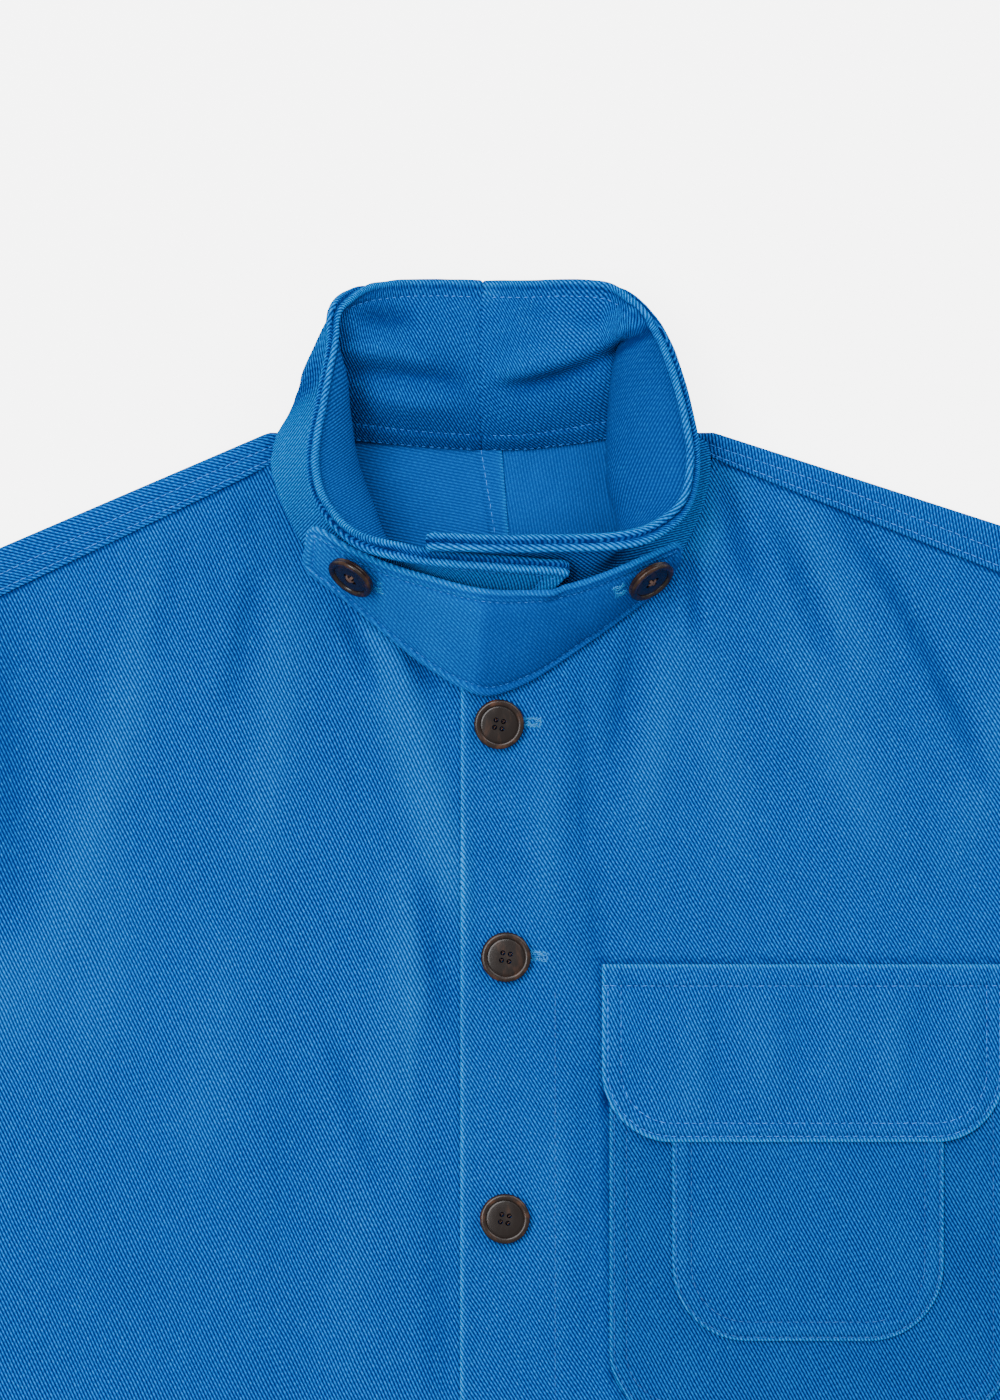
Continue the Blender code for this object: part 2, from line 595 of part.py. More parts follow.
def make_sleeve(name, side, parent):
    """One-piece sleeve laid flat: a tube from the armhole to the cuff, open at both ends."""
    sign = side["sign"]
    along = np.array([math.cos(SLEEVE_DROP), -math.sin(SLEEVE_DROP)])
    across = np.array([-math.sin(SLEEVE_DROP), -math.cos(SLEEVE_DROP)])
    shoulder = np.array([SHOULDER_X, outline_y(side, SHOULDER_X)])
    cuff_top = shoulder + along * SLEEVE_LENGTH
    depths = [0.0] + list(ARMHOLE_DEPTHS)
    stations = (0.0, 0.05, 0.12, 0.2, 0.3, 0.42, 0.54, 0.66, 0.78, 0.9, 1.0)
    points = []
    for station in stations:
        line = []
        for depth in depths:
            start_x, start_y = armhole_point(side, depth)
            start = np.array([abs(start_x), start_y]) + along * 2 * SEAM_GAP
            end = cuff_top + across * CUFF_WIDTH * depth
            line.append(start + (end - start) * station)
        width = np.linalg.norm(line[-1] - line[0])
        inward = (line[-1] - line[0]) / width
        ring = []
        for layer in ("top", "under"):
            inner = []
            for depth, place in zip(depths[1:-1], line[1:-1]):
                level = BACK_LEVEL
                if layer == "top":
                    level = FRONT_LEVEL + float(fold_height(station, depth, SLEEVE_FOLDS))
                inner.append((*place, level))
            edge_level = FRONT_LEVEL if layer == "top" else BACK_LEVEL
            radius = (FRONT_LEVEL - BACK_LEVEL) / 2
            near = line[0] + inward * radius
            far = line[-1] - inward * radius
            flat = [(*near, edge_level)] + inner + [(*far, edge_level)]
            middle = BACK_LEVEL + radius
            slant = radius * math.sin(math.radians(45))
            if layer == "top":
                turn = [(*(far + inward * slant), middle + slant), (*line[-1], middle),
                        (*(far + inward * slant), middle - slant)]
                ring += flat + turn
            else:
                turn = [(*(near - inward * slant), middle - slant), (*line[0], middle),
                        (*(near - inward * slant), middle + slant)]
                ring += list(reversed(flat)) + turn
        points += [(sign * x, y, z) for x, y, z in ring]
    count = len(points) // len(stations)
    faces = grid_faces(count, len(stations), flip=sign < 0, closed=True)
    return add_object(name, cloth_mesh(name, points, faces, CLOTH), BLUE_TWILL, parent)


def turned_mesh(name, profile, sides):
    """Closed solid turned about Z from an outline of radius and height, flat at both ends."""
    shape = bmesh.new()
    rings = []
    for radius, height in profile:
        ring = []
        for k in range(sides):
            angle = 2 * math.pi * k / sides
            ring.append(shape.verts.new((radius * math.cos(angle) * MM,
                                         radius * math.sin(angle) * MM, height * MM)))
        rings.append(ring)
    for lower, upper in zip(rings, rings[1:]):
        for k in range(sides):
            beside = (k + 1) % sides
            shape.faces.new((lower[k], lower[beside], upper[beside], upper[k]))
    shape.faces.new(list(reversed(rings[0])))
    shape.faces.new(rings[-1])
    mesh = bpy.data.meshes.new(name)
    shape.to_mesh(mesh)
    shape.free()
    return mesh


def button_mesh():
    """Four-hole button: raised rim, sunk middle, holes cut right through."""
    blank = bpy.data.objects.new("button_blank", turned_mesh("button", BUTTON_PROFILE, BUTTON_SIDES))
    bpy.context.collection.objects.link(blank)
    drill = bpy.data.objects.new("button_drill", bpy.data.meshes.new("button_drill"))
    shape = bmesh.new()
    for across in (-1, 1):
        for up in (-1, 1):
            place = Matrix.Translation((across * BUTTON_HOLE_OFFSET * MM, up * BUTTON_HOLE_OFFSET * MM, 0))
            bmesh.ops.create_cone(shape, cap_ends=True, segments=BUTTON_HOLE_SIDES,
                                  radius1=BUTTON_HOLE_RADIUS * MM, radius2=BUTTON_HOLE_RADIUS * MM,
                                  depth=8 * BUTTON_STAND * MM + 6 * MM, matrix=place)
    shape.to_mesh(drill.data)
    shape.free()
    bpy.context.collection.objects.link(drill)
    cut = blank.modifiers.new("holes", "BOOLEAN")
    cut.operation = "DIFFERENCE"
    cut.solver = "EXACT"
    cut.object = drill
    bpy.context.view_layer.update()
    evaluated = blank.evaluated_get(bpy.context.evaluated_depsgraph_get())
    mesh = bpy.data.meshes.new_from_object(evaluated)
    for scratch in (blank, drill):
        bpy.data.objects.remove(scratch)
    return mesh


def surface_frame(point_at, u, v, step_u, step_v):
    """A surface's point and unit normal, from its neighbours along both directions."""
    here = np.array(point_at(u, v))
    along_u = np.array(point_at(u + step_u, v)) - np.array(point_at(u - step_u, v))
    along_v = np.array(point_at(u, v + step_v)) - np.array(point_at(u, v - step_v))
    normal = np.cross(along_u, along_v)
    normal = normal / np.linalg.norm(normal)
    return here, normal if normal[2] > 0 else -normal


def place_button(name, mesh, point, normal, stand, parent):
    """Seats a button flat over a surface, its holes square to the garment."""
    button = add_object(name, mesh.copy(), DARK_HORN, parent)
    turn = Vector((0, 0, 1)).rotation_difference(Vector(normal))
    button.rotation_euler = turn.to_euler()
    button.location = Vector(point + normal * stand) * MM
    return button


def make_buttons(parent):
    mesh = button_mesh()

    def on_front(x, y):
        return x, y, float(left_front_level(x, y))

    for number, (x, y) in enumerate(FRONT_BUTTONS, 1):
        point, normal = surface_frame(on_front, x, y, 8.0, 8.0)
        place_button(f"front_button_{number}", mesh, point, normal, CLOTH / 2 + BUTTON_STAND, parent)
    tilt = math.radians(TAB_BUTTON_TILT)
    for name, row in TAB_BUTTONS.items():
        seat = dict(zip(TAB_BUTTON_COLUMNS, row))
        point, normal = surface_frame(tab_point, seat["station"], seat["drop"], 0.6, 0.2)
        heading = math.radians(seat["heading"])
        facing = np.array([math.cos(heading) * math.sin(tilt), math.sin(heading) * math.sin(tilt), math.cos(tilt)])
        lean = math.acos(min(1.0, float(normal @ facing)))
        stand = TAB_WALL / 2 + TAB_BUTTON_STAND + TAB_BUTTON_FOOT * math.sin(lean)
        place_button(name, mesh, point + normal * stand, facing, 0.0, parent)


def centre_coat(frame, pieces):
    """Moves the whole coat so that the middle of its box's underside is the origin."""
    bpy.context.view_layer.update()
    corners = [piece.matrix_world @ vertex.co for piece in pieces for vertex in piece.data.vertices]
    xs = [corner.x for corner in corners]
    ys = [corner.y for corner in corners]
    frame.location = (-(min(xs) + max(xs)) / 2, -(min(ys) + max(ys)) / 2, 0)


def build_coat():
    for old in list(bpy.data.objects):
        bpy.data.objects.remove(old)
    frame = bpy.data.objects.new("coat_frame", None)
    bpy.context.collection.objects.link(frame)
    left, right = SIDES["left"], SIDES["right"]
    front_right = make_front("front_right", right, COLLAR_RIGHT, right_front_level, [], frame)
    front_left = make_front("front_left", left, COLLAR_LEFT, left_front_level, [front_right], frame)
    make_back("back_left", left, COLLAR_LEFT, front_left, frame)
    make_back("back_right", right, COLLAR_RIGHT, front_right, frame)
    collar_left = make_collar("collar_left", COLLAR_LEFT, False, frame)
    collar_right = make_collar("collar_right", COLLAR_RIGHT, True, frame)
    make_tab([front_left, front_right, collar_left, collar_right], frame)
    chest_pocket = make_pocket_piece("chest_pocket", 10, [front_left], frame)
    pocket_patch = make_pocket_piece("pocket_patch", 8, [chest_pocket], frame)
    make_pocket_piece("pocket_flap", 13, [front_left, chest_pocket, pocket_patch], frame)
    make_sleeve("sleeve_left", left, frame)
    make_sleeve("sleeve_right", right, frame)
    make_buttons(frame)
    centre_coat(frame, [piece for piece in frame.children if piece.type == "MESH"])


build_coat()
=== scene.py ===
import math
from collections import namedtuple
from functools import partial

import bmesh
import bpy
import numpy as np
from bpy.props import FloatProperty, FloatVectorProperty, IntProperty, PointerProperty
from mathutils import Matrix, Vector
from mathutils.bvhtree import BVHTree


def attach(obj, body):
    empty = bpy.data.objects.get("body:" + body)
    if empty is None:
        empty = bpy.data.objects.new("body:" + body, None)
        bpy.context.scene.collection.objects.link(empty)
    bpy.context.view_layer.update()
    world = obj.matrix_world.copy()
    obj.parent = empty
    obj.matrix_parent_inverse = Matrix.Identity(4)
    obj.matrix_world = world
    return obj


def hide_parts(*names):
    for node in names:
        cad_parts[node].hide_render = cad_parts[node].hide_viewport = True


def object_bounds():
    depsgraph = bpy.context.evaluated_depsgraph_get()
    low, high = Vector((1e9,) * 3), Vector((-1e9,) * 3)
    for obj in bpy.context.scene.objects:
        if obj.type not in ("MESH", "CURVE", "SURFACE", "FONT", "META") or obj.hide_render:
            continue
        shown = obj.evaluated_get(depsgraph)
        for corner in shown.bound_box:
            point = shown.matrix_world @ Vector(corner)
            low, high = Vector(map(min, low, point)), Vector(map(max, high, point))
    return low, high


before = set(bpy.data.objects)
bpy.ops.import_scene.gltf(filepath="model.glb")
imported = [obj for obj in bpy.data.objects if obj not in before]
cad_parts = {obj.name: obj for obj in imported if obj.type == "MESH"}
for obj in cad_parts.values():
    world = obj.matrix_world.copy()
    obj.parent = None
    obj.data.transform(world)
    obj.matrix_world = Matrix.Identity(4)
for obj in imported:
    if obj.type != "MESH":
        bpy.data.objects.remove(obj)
cad_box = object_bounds()

bl_info = {
    "name": "Chore coat dresser",
    "version": (1, 0, 0),
    "blender": (4, 5, 0),
    "location": "View3D > Sidebar > Coat",
    "description": "Dresses a laid-out chore coat in worn twill, with its seams, stitches and buttons",
    "category": "Object",
}

# Plan millimetres as in the coat's pattern: the hem lies at HEM_Y
MM = 0.001
CLOTH = 1.2
HEM_Y = -600.0
HEM_HALF_WIDTH = 286.0
SHOULDER_X = 241.0
PLAN_SHIFT = np.array([(cad_box[0].x + cad_box[1].x) / 2 / MM, cad_box[0].y / MM - HEM_Y, 0.0])
UP = np.array([0.0, 0.0, 1.0])

# Levels of the middle of the cloth
BACK_LEVEL = CLOTH / 2
FRONT_LEVEL = 4.3
FRONT_EDGE_LEVEL = 2.15
LAYER = CLOTH + 0.35
OVERLAP_LIFT = CLOTH + 0.45
EDGE_ROLL = 24.0
OVERLAP_END_X = 24.0
OVERLAP_FADE = 16.0

Side = namedtuple("Side", "sign neck_x outline_y outline_slope seam_y seam_slope underarm_x underarm_y "
                          "front_edge_x step_x step_y")
LEFT = Side(1, 85.2, 106.8, 0.3235, 95.8, 0.394, 289, -190, -15.6, 1.5, 11.9)
RIGHT = Side(-1, 92.2, 106.8, 0.4286, 93.0, 0.481, 291, -205, 18.4, 1.0, 12.8)
ARMHOLE_BEND = 2.6
SLEEVE_LENGTH = 600.0
SLEEVE_DROP = math.radians(32)
CUFF_WIDTH = 140.0

NECK_CENTRE = (-4.2, 95.0)
NECK_RADII = (88.6, 78.0)
NECK_RISE = 5.4
NECK_RISE_REACH = 30.0
NECK_RISE_AT_SHOULDER = 0.3

# Collar halves: a section in each row, from centre back to the collar's end
COLLAR_RIGHT = [
    (-7.2, 100.8, 1.4, -8.0, 111.0, 18.0, -8.7, 138.0, 27.0, -7.1, 165.5, 14.0),
    (-24.0, 101.6, 1.4, -23.7, 114.0, 20.0, -23.6, 141.7, 28.0, -23.8, 165.8, 15.0),
    (-42.0, 102.8, 1.4, -41.6, 117.0, 18.0, -41.3, 141.6, 30.0, -40.8, 165.4, 19.0),
    (-60.0, 104.0, 1.6, -65.0, 119.0, 10.0, -55.0, 141.0, 31.0, -55.4, 162.8, 27.0),
    (-78.0, 104.0, 2.2, -84.0, 122.0, 4.0, -74.0, 137.5, 26.0, -64.0, 153.8, 37.0),
    (-89.4, 102.4, 3.6, -86.5, 117.5, 4.5, -47.0, 122.0, 26.0, -67.4, 136.0, 44.0),
    (-91.5, 93.5, 6.2, -67.8, 106.9, 6.0, -45.3, 112.0, 26.0, -71.2, 114.8, 49.0),
    (-87.2, 78.5, 7.4, -55.0, 91.7, 8.0, -44.1, 95.3, 28.0, -74.4, 94.1, 51.0),
    (-79.6, 63.7, 8.2, -54.8, 70.6, 15.0, -31.6, 78.9, 25.0, -71.0, 77.2, 50.0),
    (-66.9, 47.8, 8.8, -49.9, 56.2, 23.0, -29.4, 62.6, 26.0, -57.4, 62.8, 48.0),
    (-47.0, 33.4, 9.2, -36.4, 43.5, 22.0, -19.9, 49.4, 27.0, -35.1, 57.6, 46.5),
    (-23.9, 21.9, 9.6, -17.8, 32.4, 20.0, -5.5, 43.4, 27.0, -7.0, 54.8, 44.5),
    (-1.2, 16.3, 10.0, 4.7, 26.9, 19.0, 19.7, 41.3, 29.0, 29.4, 52.6, 43.0),
]
COLLAR_LEFT = [
    (-6.8, 100.8, 1.4, -7.6, 111.0, 18.0, -8.3, 138.0, 27.0, -6.7, 165.5, 14.0),
    (10.0, 101.2, 1.4, 8.7, 109.3, 17.0, 7.9, 137.8, 28.0, 9.9, 165.4, 15.0),
    (27.2, 102.8, 1.4, 24.6, 114.2, 16.0, 23.6, 142.4, 30.0, 27.7, 165.5, 17.0),
    (44.8, 104.8, 1.6, 39.7, 119.1, 13.0, 36.2, 143.5, 30.0, 44.3, 164.0, 21.0),
    (64.0, 104.8, 2.2, 57.0, 121.0, 6.0, 36.0, 140.0, 24.0, 55.6, 156.9, 26.0),
    (81.8, 102.2, 3.6, 49.0, 120.6, 6.0, 30.0, 134.5, 21.0, 63.7, 146.2, 31.0),
    (84.1, 94.6, 6.2, 42.3, 109.7, 6.0, 26.1, 121.9, 19.0, 69.4, 133.0, 35.0),
    (82.5, 82.5, 7.2, 39.9, 93.7, 7.0, 23.7, 106.8, 20.0, 74.4, 115.5, 38.0),
    (78.1, 69.7, 8.0, 40.7, 79.7, 8.0, 24.5, 87.7, 22.0, 77.4, 95.8, 40.0),
    (70.5, 55.7, 8.6, 52.4, 61.5, 15.0, 26.1, 71.1, 24.0, 75.0, 78.9, 42.0),
    (59.3, 43.0, 9.2, 45.9, 50.7, 21.0, 31.6, 60.0, 26.0, 65.6, 68.7, 44.0),
    (42.2, 31.0, 9.8, 34.8, 41.1, 20.0, 26.8, 54.3, 29.0, 48.7, 62.6, 47.0),
    (22.3, 23.9, 10.4, 18.2, 37.2, 18.0, 13.8, 55.5, 28.5, 15.6, 61.4, 49.5),
    (4.0, 21.9, 11.0, -2.4, 34.8, 18.0, -18.4, 57.4, 29.0, -31.4, 62.3, 51.0),
]
NECK_POINT_ROW = 6

# Throat tab: upper and lower edge in each row, from the right end to the left
TAB_SECTIONS = [
    (-76.3, 65.3, 20.0, -77.6, 58.6, 11.5),
    (-73.1, 68.7, 25.5, -76.3, 51.7, 10.6),
    (-66.9, 65.8, 30.0, -69.6, 45.7, 9.8),
    (-59.0, 60.5, 33.5, -61.6, 39.6, 9.4),
    (-43.6, 53.7, 36.5, -48.5, 28.2, 9.4),
    (-27.4, 48.8, 37.5, -31.8, 14.7, 9.4),
    (-12.9, 44.8, 38.0, -15.1, 4.6, 10.0),
    (0.0, 43.1, 38.5, -4.0, 1.5, 10.2),
    (15.7, 43.7, 38.0, 11.9, 7.2, 10.2),
    (31.4, 46.8, 36.5, 28.6, 18.0, 9.6),
    (47.0, 52.5, 36.0, 42.9, 28.6, 9.6),
    (58.9, 57.8, 33.5, 54.9, 38.0, 9.6),
    (65.0, 60.5, 30.0, 62.0, 43.7, 9.8),
    (69.5, 62.2, 25.5, 68.4, 51.3, 10.6),
    (71.7, 60.1, 20.0, 71.6, 57.2, 12.0),
]
TAB_BULGE = 2.2
TAB_POINT_STATION = 7.0

Pocket = namedtuple("Pocket", "x0 x1 top_y low_y corner")
POCKETS = {
    "chest_pocket": Pocket(43.6, 203.4, -114.0, -287.0, 27.0),
    "pocket_patch": Pocket(68.6, 176.8, -123.5, -255.4, 30.0),
    "pocket_flap": Pocket(40.6, 201.4, -105.2, -176.0, 28.0),
}
FLAP_MARGIN = 9.0
FLAP_SPREAD = 10.0

FRONT_BUTTONS = ((-0.4, -9.3), (2.4, -102.3), (2.0, -206.4), (1.8, -311.0), (1.6, -415.5))
TAB_BUTTONS = {"tab_button_right": (3.3, 0.26, -126), "tab_button_left": (10.95, 0.32, -54)}
TAB_BUTTON_TILT = math.radians(63)
SLIT_ASIDE = (13.2, 0.4)
TAB_SLIT_REACH = 12.2

# Making: distances in metres where points meet, else in plan millimetres
MERGE_DISTANCE = 0.00002
SLIVER_WIDTH = 0.000005
FLOOR_GAP = 0.02
ABOVE_ALL = 120.0
LAYING_REACH = 5.0
LAYING_ROUNDS = 3
THREAD_DEPTH = 0.1
STITCH_SWING = 0.12
STITCH_SIZES = (0.8, 1.12)
RIB_MIDDLE = 0.42

# Folds: a ridge where height is above zero, else a trough; wide_a lies left of the run, wide_b right
Fold = namedtuple("Fold", "x0 y0 x1 y1 bow wide_a wide_b height")
FRONT_FOLDS = [
    (-50, 40, -15, -86, 2, 5, 10, 5.2),
    (-65, 42, -50, 4, 0, 3.4, 3, -3.8),
    (-40, 25, -24, 2, 0, 3.5, 4.5, -4.0),
    (-31, -72, -20.5, -138, -1, 6, 3, -3.0),
    (-39, -62, -31, -134, 0, 3.5, 9, 1.8),
    (-129, 74, -193, -146, 3.5, 9, 11, 1.8),
    (-199, 44, -196, -100, 0, 10, 8, -3.0),
    (-97, 56, -110, -8, 1, 4.5, 4, -2.5),
    (-84, 56, -98, -70, 1, 10, 8, 1.5),
    (-128, 66, -138, 10, 0, 4.5, 5, -1.7),
    (-98, 82, -100, 62, 0, 4, 5, -1.6),
    (-68, -134, -47, -196, -1, 4.5, 4, -2.2),
    (-34, -90, -52, -176, 3, 7, 12, 1.3),
    (-84, -150, -92, -230, 2, 8, 9, -1.0),
    (-150, -60, -176, -160, 4, 14, 12, 1.2),
    (-110, -90, -122, -190, 3, 12, 12, 0.9),
    (-24, -168, -23, -296, 0, 3, 10, -2.0),
    (-54, -190, -60, -290, -3, 10, 12, 1.0),
    (86, 92, 101, 44, 0, 5, 4.5, -4.2),
    (108, 74, 130, 18, 1, 4.5, 4, -3.0),
    (116, 84, 150, -4, 2, 8, 8, 1.4),
    (136, 74, 194, -36, 4, 4.5, 4, -4.0),
    (75, 60, 79, 24, 0, 3, 3, -3.0),
    (56, 34, 43, -30, -1, 5, 4, -3.2),
    (72, 34, 54, -60, 0, 7, 8, 1.6),
    (32, 4, 33, -68, 0, 4, 3.5, -2.6),
    (37, -66, 39, -114, 0, 4, 3.5, -2.4),
    (19, -14, 18, -98, 0, 5, 7, 1.3),
    (112, 40, 156, -70, 0, 11, 10, 1.3),
    (78, 24, 98, -70, 0, 9, 9, 1.1),
    (204, 26, 176, -70, 6, 9, 9, 1.4),
    (34, -120, 35, -260, 0, 6, 4, -1.1),
    (24, -150, 14, -270, -4, 9, 9, 0.6),
    (-13, -27, 17, -31, 0, 3.4, 2.6, -0.6),
    (-12, -44, 20, -41, 0, 3, 3, 0.5),
    (-14, -62, 16, -68, 0, 3.6, 2.8, -0.55),
    (-10, -128, 18, -122, 0, 3.4, 3, -0.5),
    (-12, -150, 14, -154, 0, 4, 3, 0.45),
    (270, -170, 226, -60, 8, 14, 14, 2.4),
    (-266, -184, -190, -84, -10, 14, 14, 2.4),
    (-240, -260, -170, -360, 8, 16, 16, 2.2),
    (244, -230, 232, -340, -6, 14, 14, 1.8),
    (-70, -430, -90, -560, 6, 18, 18, 2.0),
    (120, -440, 140, -560, -6, 18, 18, 2.0),
    (-150, -470, -120, -575, 5, 12, 10, -1.4),
    (60, -380, 84, -500, -6, 12, 14, -1.3),
]
FRONT_FLOOR = 2.0
FOLD_SOFTNESS = 0.4
COLLAR_FOLDS = [
    (66, 153, 42, 140.5, -1, 2.2, 6, 5.4),
    (45, 141.5, 0, 127.5, 1.5, 2.2, 6, 4.6),
    (62, 148.5, 39, 136.5, 0, 5.5, 1.9, -5.4),
    (41, 137.5, 0, 125, 1.5, 6, 2.2, -4.4),
    (-64, 138, -26, 133, 2, 2.2, 6, 3.8),
    (-62, 131, -12, 125, 2, 6, 4, -4.4),
    (-58, 151, -32, 149, 0, 6, 4, -3.8),
    (-54, 121, -18, 117, -1, 2.4, 6, 2.6),
    (8, 154, 22, 152, 1, 3, 3, -1.2),
    (26, 150, 44, 153, -2, 3, 3, -1.2),
    (16, 146, 40, 143, 0, 4, 4, 1.2),
]
SLEEVE_FOLDS = [
    (0.02, 0.92, 0.16, 0.30, 0.0, 0.07, 0.05, 2.4),
    (0.06, 1.00, 0.28, 0.52, 0.03, 0.05, 0.05, 2.0),
    (0.10, 0.20, 0.30, 0.66, 0.02, 0.03, 0.05, -1.2),
    (0.46, 0.98, 0.58, 0.20, 0.04, 0.04, 0.05, 1.8),
    (0.50, 0.92, 0.60, 0.40, 0.03, 0.03, 0.03, -1.1),
    (0.52, 0.05, 0.44, 0.70, 0.02, 0.05, 0.04, 1.4),
    (0.74, 0.95, 0.80, 0.30, 0.02, 0.04, 0.03, -0.9),
    (0.82, 0.10, 0.78, 0.90, 0.02, 0.04, 0.05, 1.2),
]
FLAP_FOLDS = [
    (56, -114, 55, -168, 0, 4, 4, -1.3),
    (76, -114, 77, -170, 1, 6, 6, 1.6),
    (88, -114, 86, -170, 0, 4, 4, -1.3),
    (104, -114, 106, -170, 0, 6, 7, 1.4),
    (118, -114, 118, -168, 0, 4, 4, -1.1),
    (132, -114, 134, -170, 1, 6, 6, 1.3),
    (158, -112, 153, -170, 0, 6, 6, 1.6),
    (170, -114, 166, -160, 0, 5, 5, -1.2),
    (186, -112, 188, -170, 0, 6, 6, 1.3),
]


def smooth_step(value):
    """Rises softly from 0 to 1 as value goes from 0 to 1."""
    t = np.clip(value, 0.0, 1.0)
    return t * t * (3 - 2 * t)


def bump(distance, width):
    """A soft ridge of height 1 about distance 0."""
    return np.exp(-(np.asarray(distance, dtype=float) / width) ** 2)


def along_rows(table, station):
    """A table's row at a fractional station, on a smooth curve through the rows."""
    rows = np.array(table, dtype=float)
    rows = np.vstack([2 * rows[0] - rows[1], rows, 2 * rows[-1] - rows[-2]])
    station = np.clip(np.asarray(station, dtype=float), 0, len(table) - 1)
    cell = np.minimum(station.astype(int), len(table) - 2)
    t = (station - cell)[..., None]
    a, b, c, d = (rows[cell + k] for k in range(4))
    return b + 0.5 * t * (c - a + t * (2 * a - 5 * b + 4 * c - d + t * (3 * b - 3 * c + d - a)))


def fold_height(x, y, folds):
    """Height that a list of soft folds adds at a place."""
    x, y = np.asarray(x, dtype=float), np.asarray(y, dtype=float)
    total = np.zeros(np.broadcast(x, y).shape)
    for fold in map(Fold._make, folds):
        run_x, run_y = fold.x1 - fold.x0, fold.y1 - fold.y0
        length = math.hypot(run_x, run_y)
        t = ((x - fold.x0) * run_x + (y - fold.y0) * run_y) / length ** 2
        aside = ((y - fold.y0) * run_x - (x - fold.x0) * run_y) / length
        inside = np.clip(t, 0, 1)
        off = aside - fold.bow * 4 * inside * (1 - inside)
        past = (t - inside) * length
        width = np.where(off > 0, fold.wide_a, fold.wide_b)
        taper = 0.15 + 0.85 * np.sin(math.pi * inside) ** 0.7
        total = total + fold.height * taper * np.exp(-(off ** 2 + past ** 2) / width ** 2)
    return total


def soft_noise(x, y, size, seed):
    """Smooth irregular waves between -1 and 1, from a few slanted sines."""
    rng = np.random.default_rng(seed)
    total = 0.0
    for _ in range(5):
        angle, phase = rng.uniform(0, math.pi), rng.uniform(0, 2 * math.pi)
        pitch = size * rng.uniform(0.7, 1.6)
        total = total + np.sin((x * math.cos(angle) + y * math.sin(angle)) * 2 * math.pi / pitch + phase)
    return total / 5


def side_seam_x(side, y):
    """How far the side seam lies from the plan's middle at a height."""
    drop = (side.underarm_y - y) / (side.underarm_y - HEM_Y)
    return side.underarm_x + (HEM_HALF_WIDTH - side.underarm_x) * np.clip(drop, 0, 1)


def outline_y(side, x):
    """The shoulder's outline, where the back turns over."""
    return side.outline_y - side.outline_slope * np.maximum(np.abs(x) - side.neck_x, 0)


def shoulder_seam_y(side, x):
    """The edge of the back where it laps over the front."""
    return side.seam_y - side.seam_slope * (np.abs(x) - side.neck_x)


def armhole_x(side, y):
    """How far the armhole lies from the plan's middle at a height."""
    tip_y = outline_y(side, SHOULDER_X)
    depth = np.clip((tip_y - y) / (tip_y - side.underarm_y), 0, 1)
    return SHOULDER_X + (side.underarm_x - SHOULDER_X) * depth ** ARMHOLE_BEND


def panel_edge_x(side, y):
    """The outer edge of a panel, down the armhole and the side seam."""
    return np.where(y > side.underarm_y, armhole_x(side, y), side_seam_x(side, y))


def neck_ring(x, y):
    """Distance from the neck's middle in shares of the opening's radius, and the part along the coat."""
    across = (x - NECK_CENTRE[0]) / NECK_RADII[0]
    along = (y - NECK_CENTRE[1]) / NECK_RADII[1]
    return np.hypot(across, along), along


def neck_rise(x, y):
    """How far the fronts are lifted towards the neck seam."""
    ring, along = neck_ring(x, y)
    distance = np.maximum(ring - 0.95, 0) * NECK_RADII[1]
    forward = smooth_step(-along)
    share = NECK_RISE_AT_SHOULDER + (1 - NECK_RISE_AT_SHOULDER) * forward
    return NECK_RISE * share * np.exp(-(distance / NECK_RISE_REACH) ** 1.5)


def front_level(side, x, y):
    """Middle of a front panel's cloth, without the lift of the overlap."""
    x, y = np.asarray(x, dtype=float), np.asarray(y, dtype=float)
    from_side = side_seam_x(side, y) - np.abs(x) + 1.2 * np.maximum(y - side.underarm_y, 0)
    full = smooth_step(from_side / EDGE_ROLL) * smooth_step((y - HEM_Y) / EDGE_ROLL)
    level = FRONT_EDGE_LEVEL + (FRONT_LEVEL - FRONT_EDGE_LEVEL) * full + neck_rise(x, y)
    waves = 0.28 * soft_noise(x, y, 46, 3) + 0.12 * soft_noise(x, y, 17, 8)
    clear = smooth_step((neck_ring(x, y)[0] - 0.97) * NECK_RADII[1] / 9)
    level = level + full * (clear * fold_height(x, y, FRONT_FOLDS) + waves)
    return FRONT_FLOOR + FOLD_SOFTNESS * np.logaddexp(0, (level - FRONT_FLOOR) / FOLD_SOFTNESS)


def left_front_level(x, y):
    """Middle of the left front's cloth, lifted where it laps over the right one."""
    lift = 1 - smooth_step((np.asarray(x) - OVERLAP_END_X) / OVERLAP_FADE)
    return front_level(LEFT, x, y) + OVERLAP_LIFT * lift


def right_front_level(x, y):
    """Middle of the right front's cloth."""
    return front_level(RIGHT, x, y)


def collar_point(table, station, height):
    """Middle of the collar's wall: height 0 is the neck seam and 1 the collar's edge."""
    row = along_rows(table, station)
    seam, low, high, edge = (row[..., k:k + 3] for k in (0, 3, 6, 9))
    h = np.asarray(height, dtype=float)[..., None]
    g = 1 - h
    point = seam * g ** 3 + low * 3 * g * g * h + high * 3 * g * h * h + edge * h ** 3
    share = smooth_step(np.asarray(height) / 0.3) * smooth_step((1 - np.asarray(height)) / 0.12)
    behind = 1 - smooth_step((np.asarray(station) - 4.2) / 1.2)
    point[..., 2] += share * behind * fold_height(point[..., 0], point[..., 1], COLLAR_FOLDS)
    return point


def neck_seam_point(table, station, gap):
    """Plan point of a panel's neck edge, a seam's gap outside the collar."""
    seam = collar_point(table, station, np.zeros_like(station, dtype=float))
    above = collar_point(table, station, np.full_like(station, 0.05, dtype=float))
    return seam[..., :2] + unit(seam - above)[..., :2] * gap


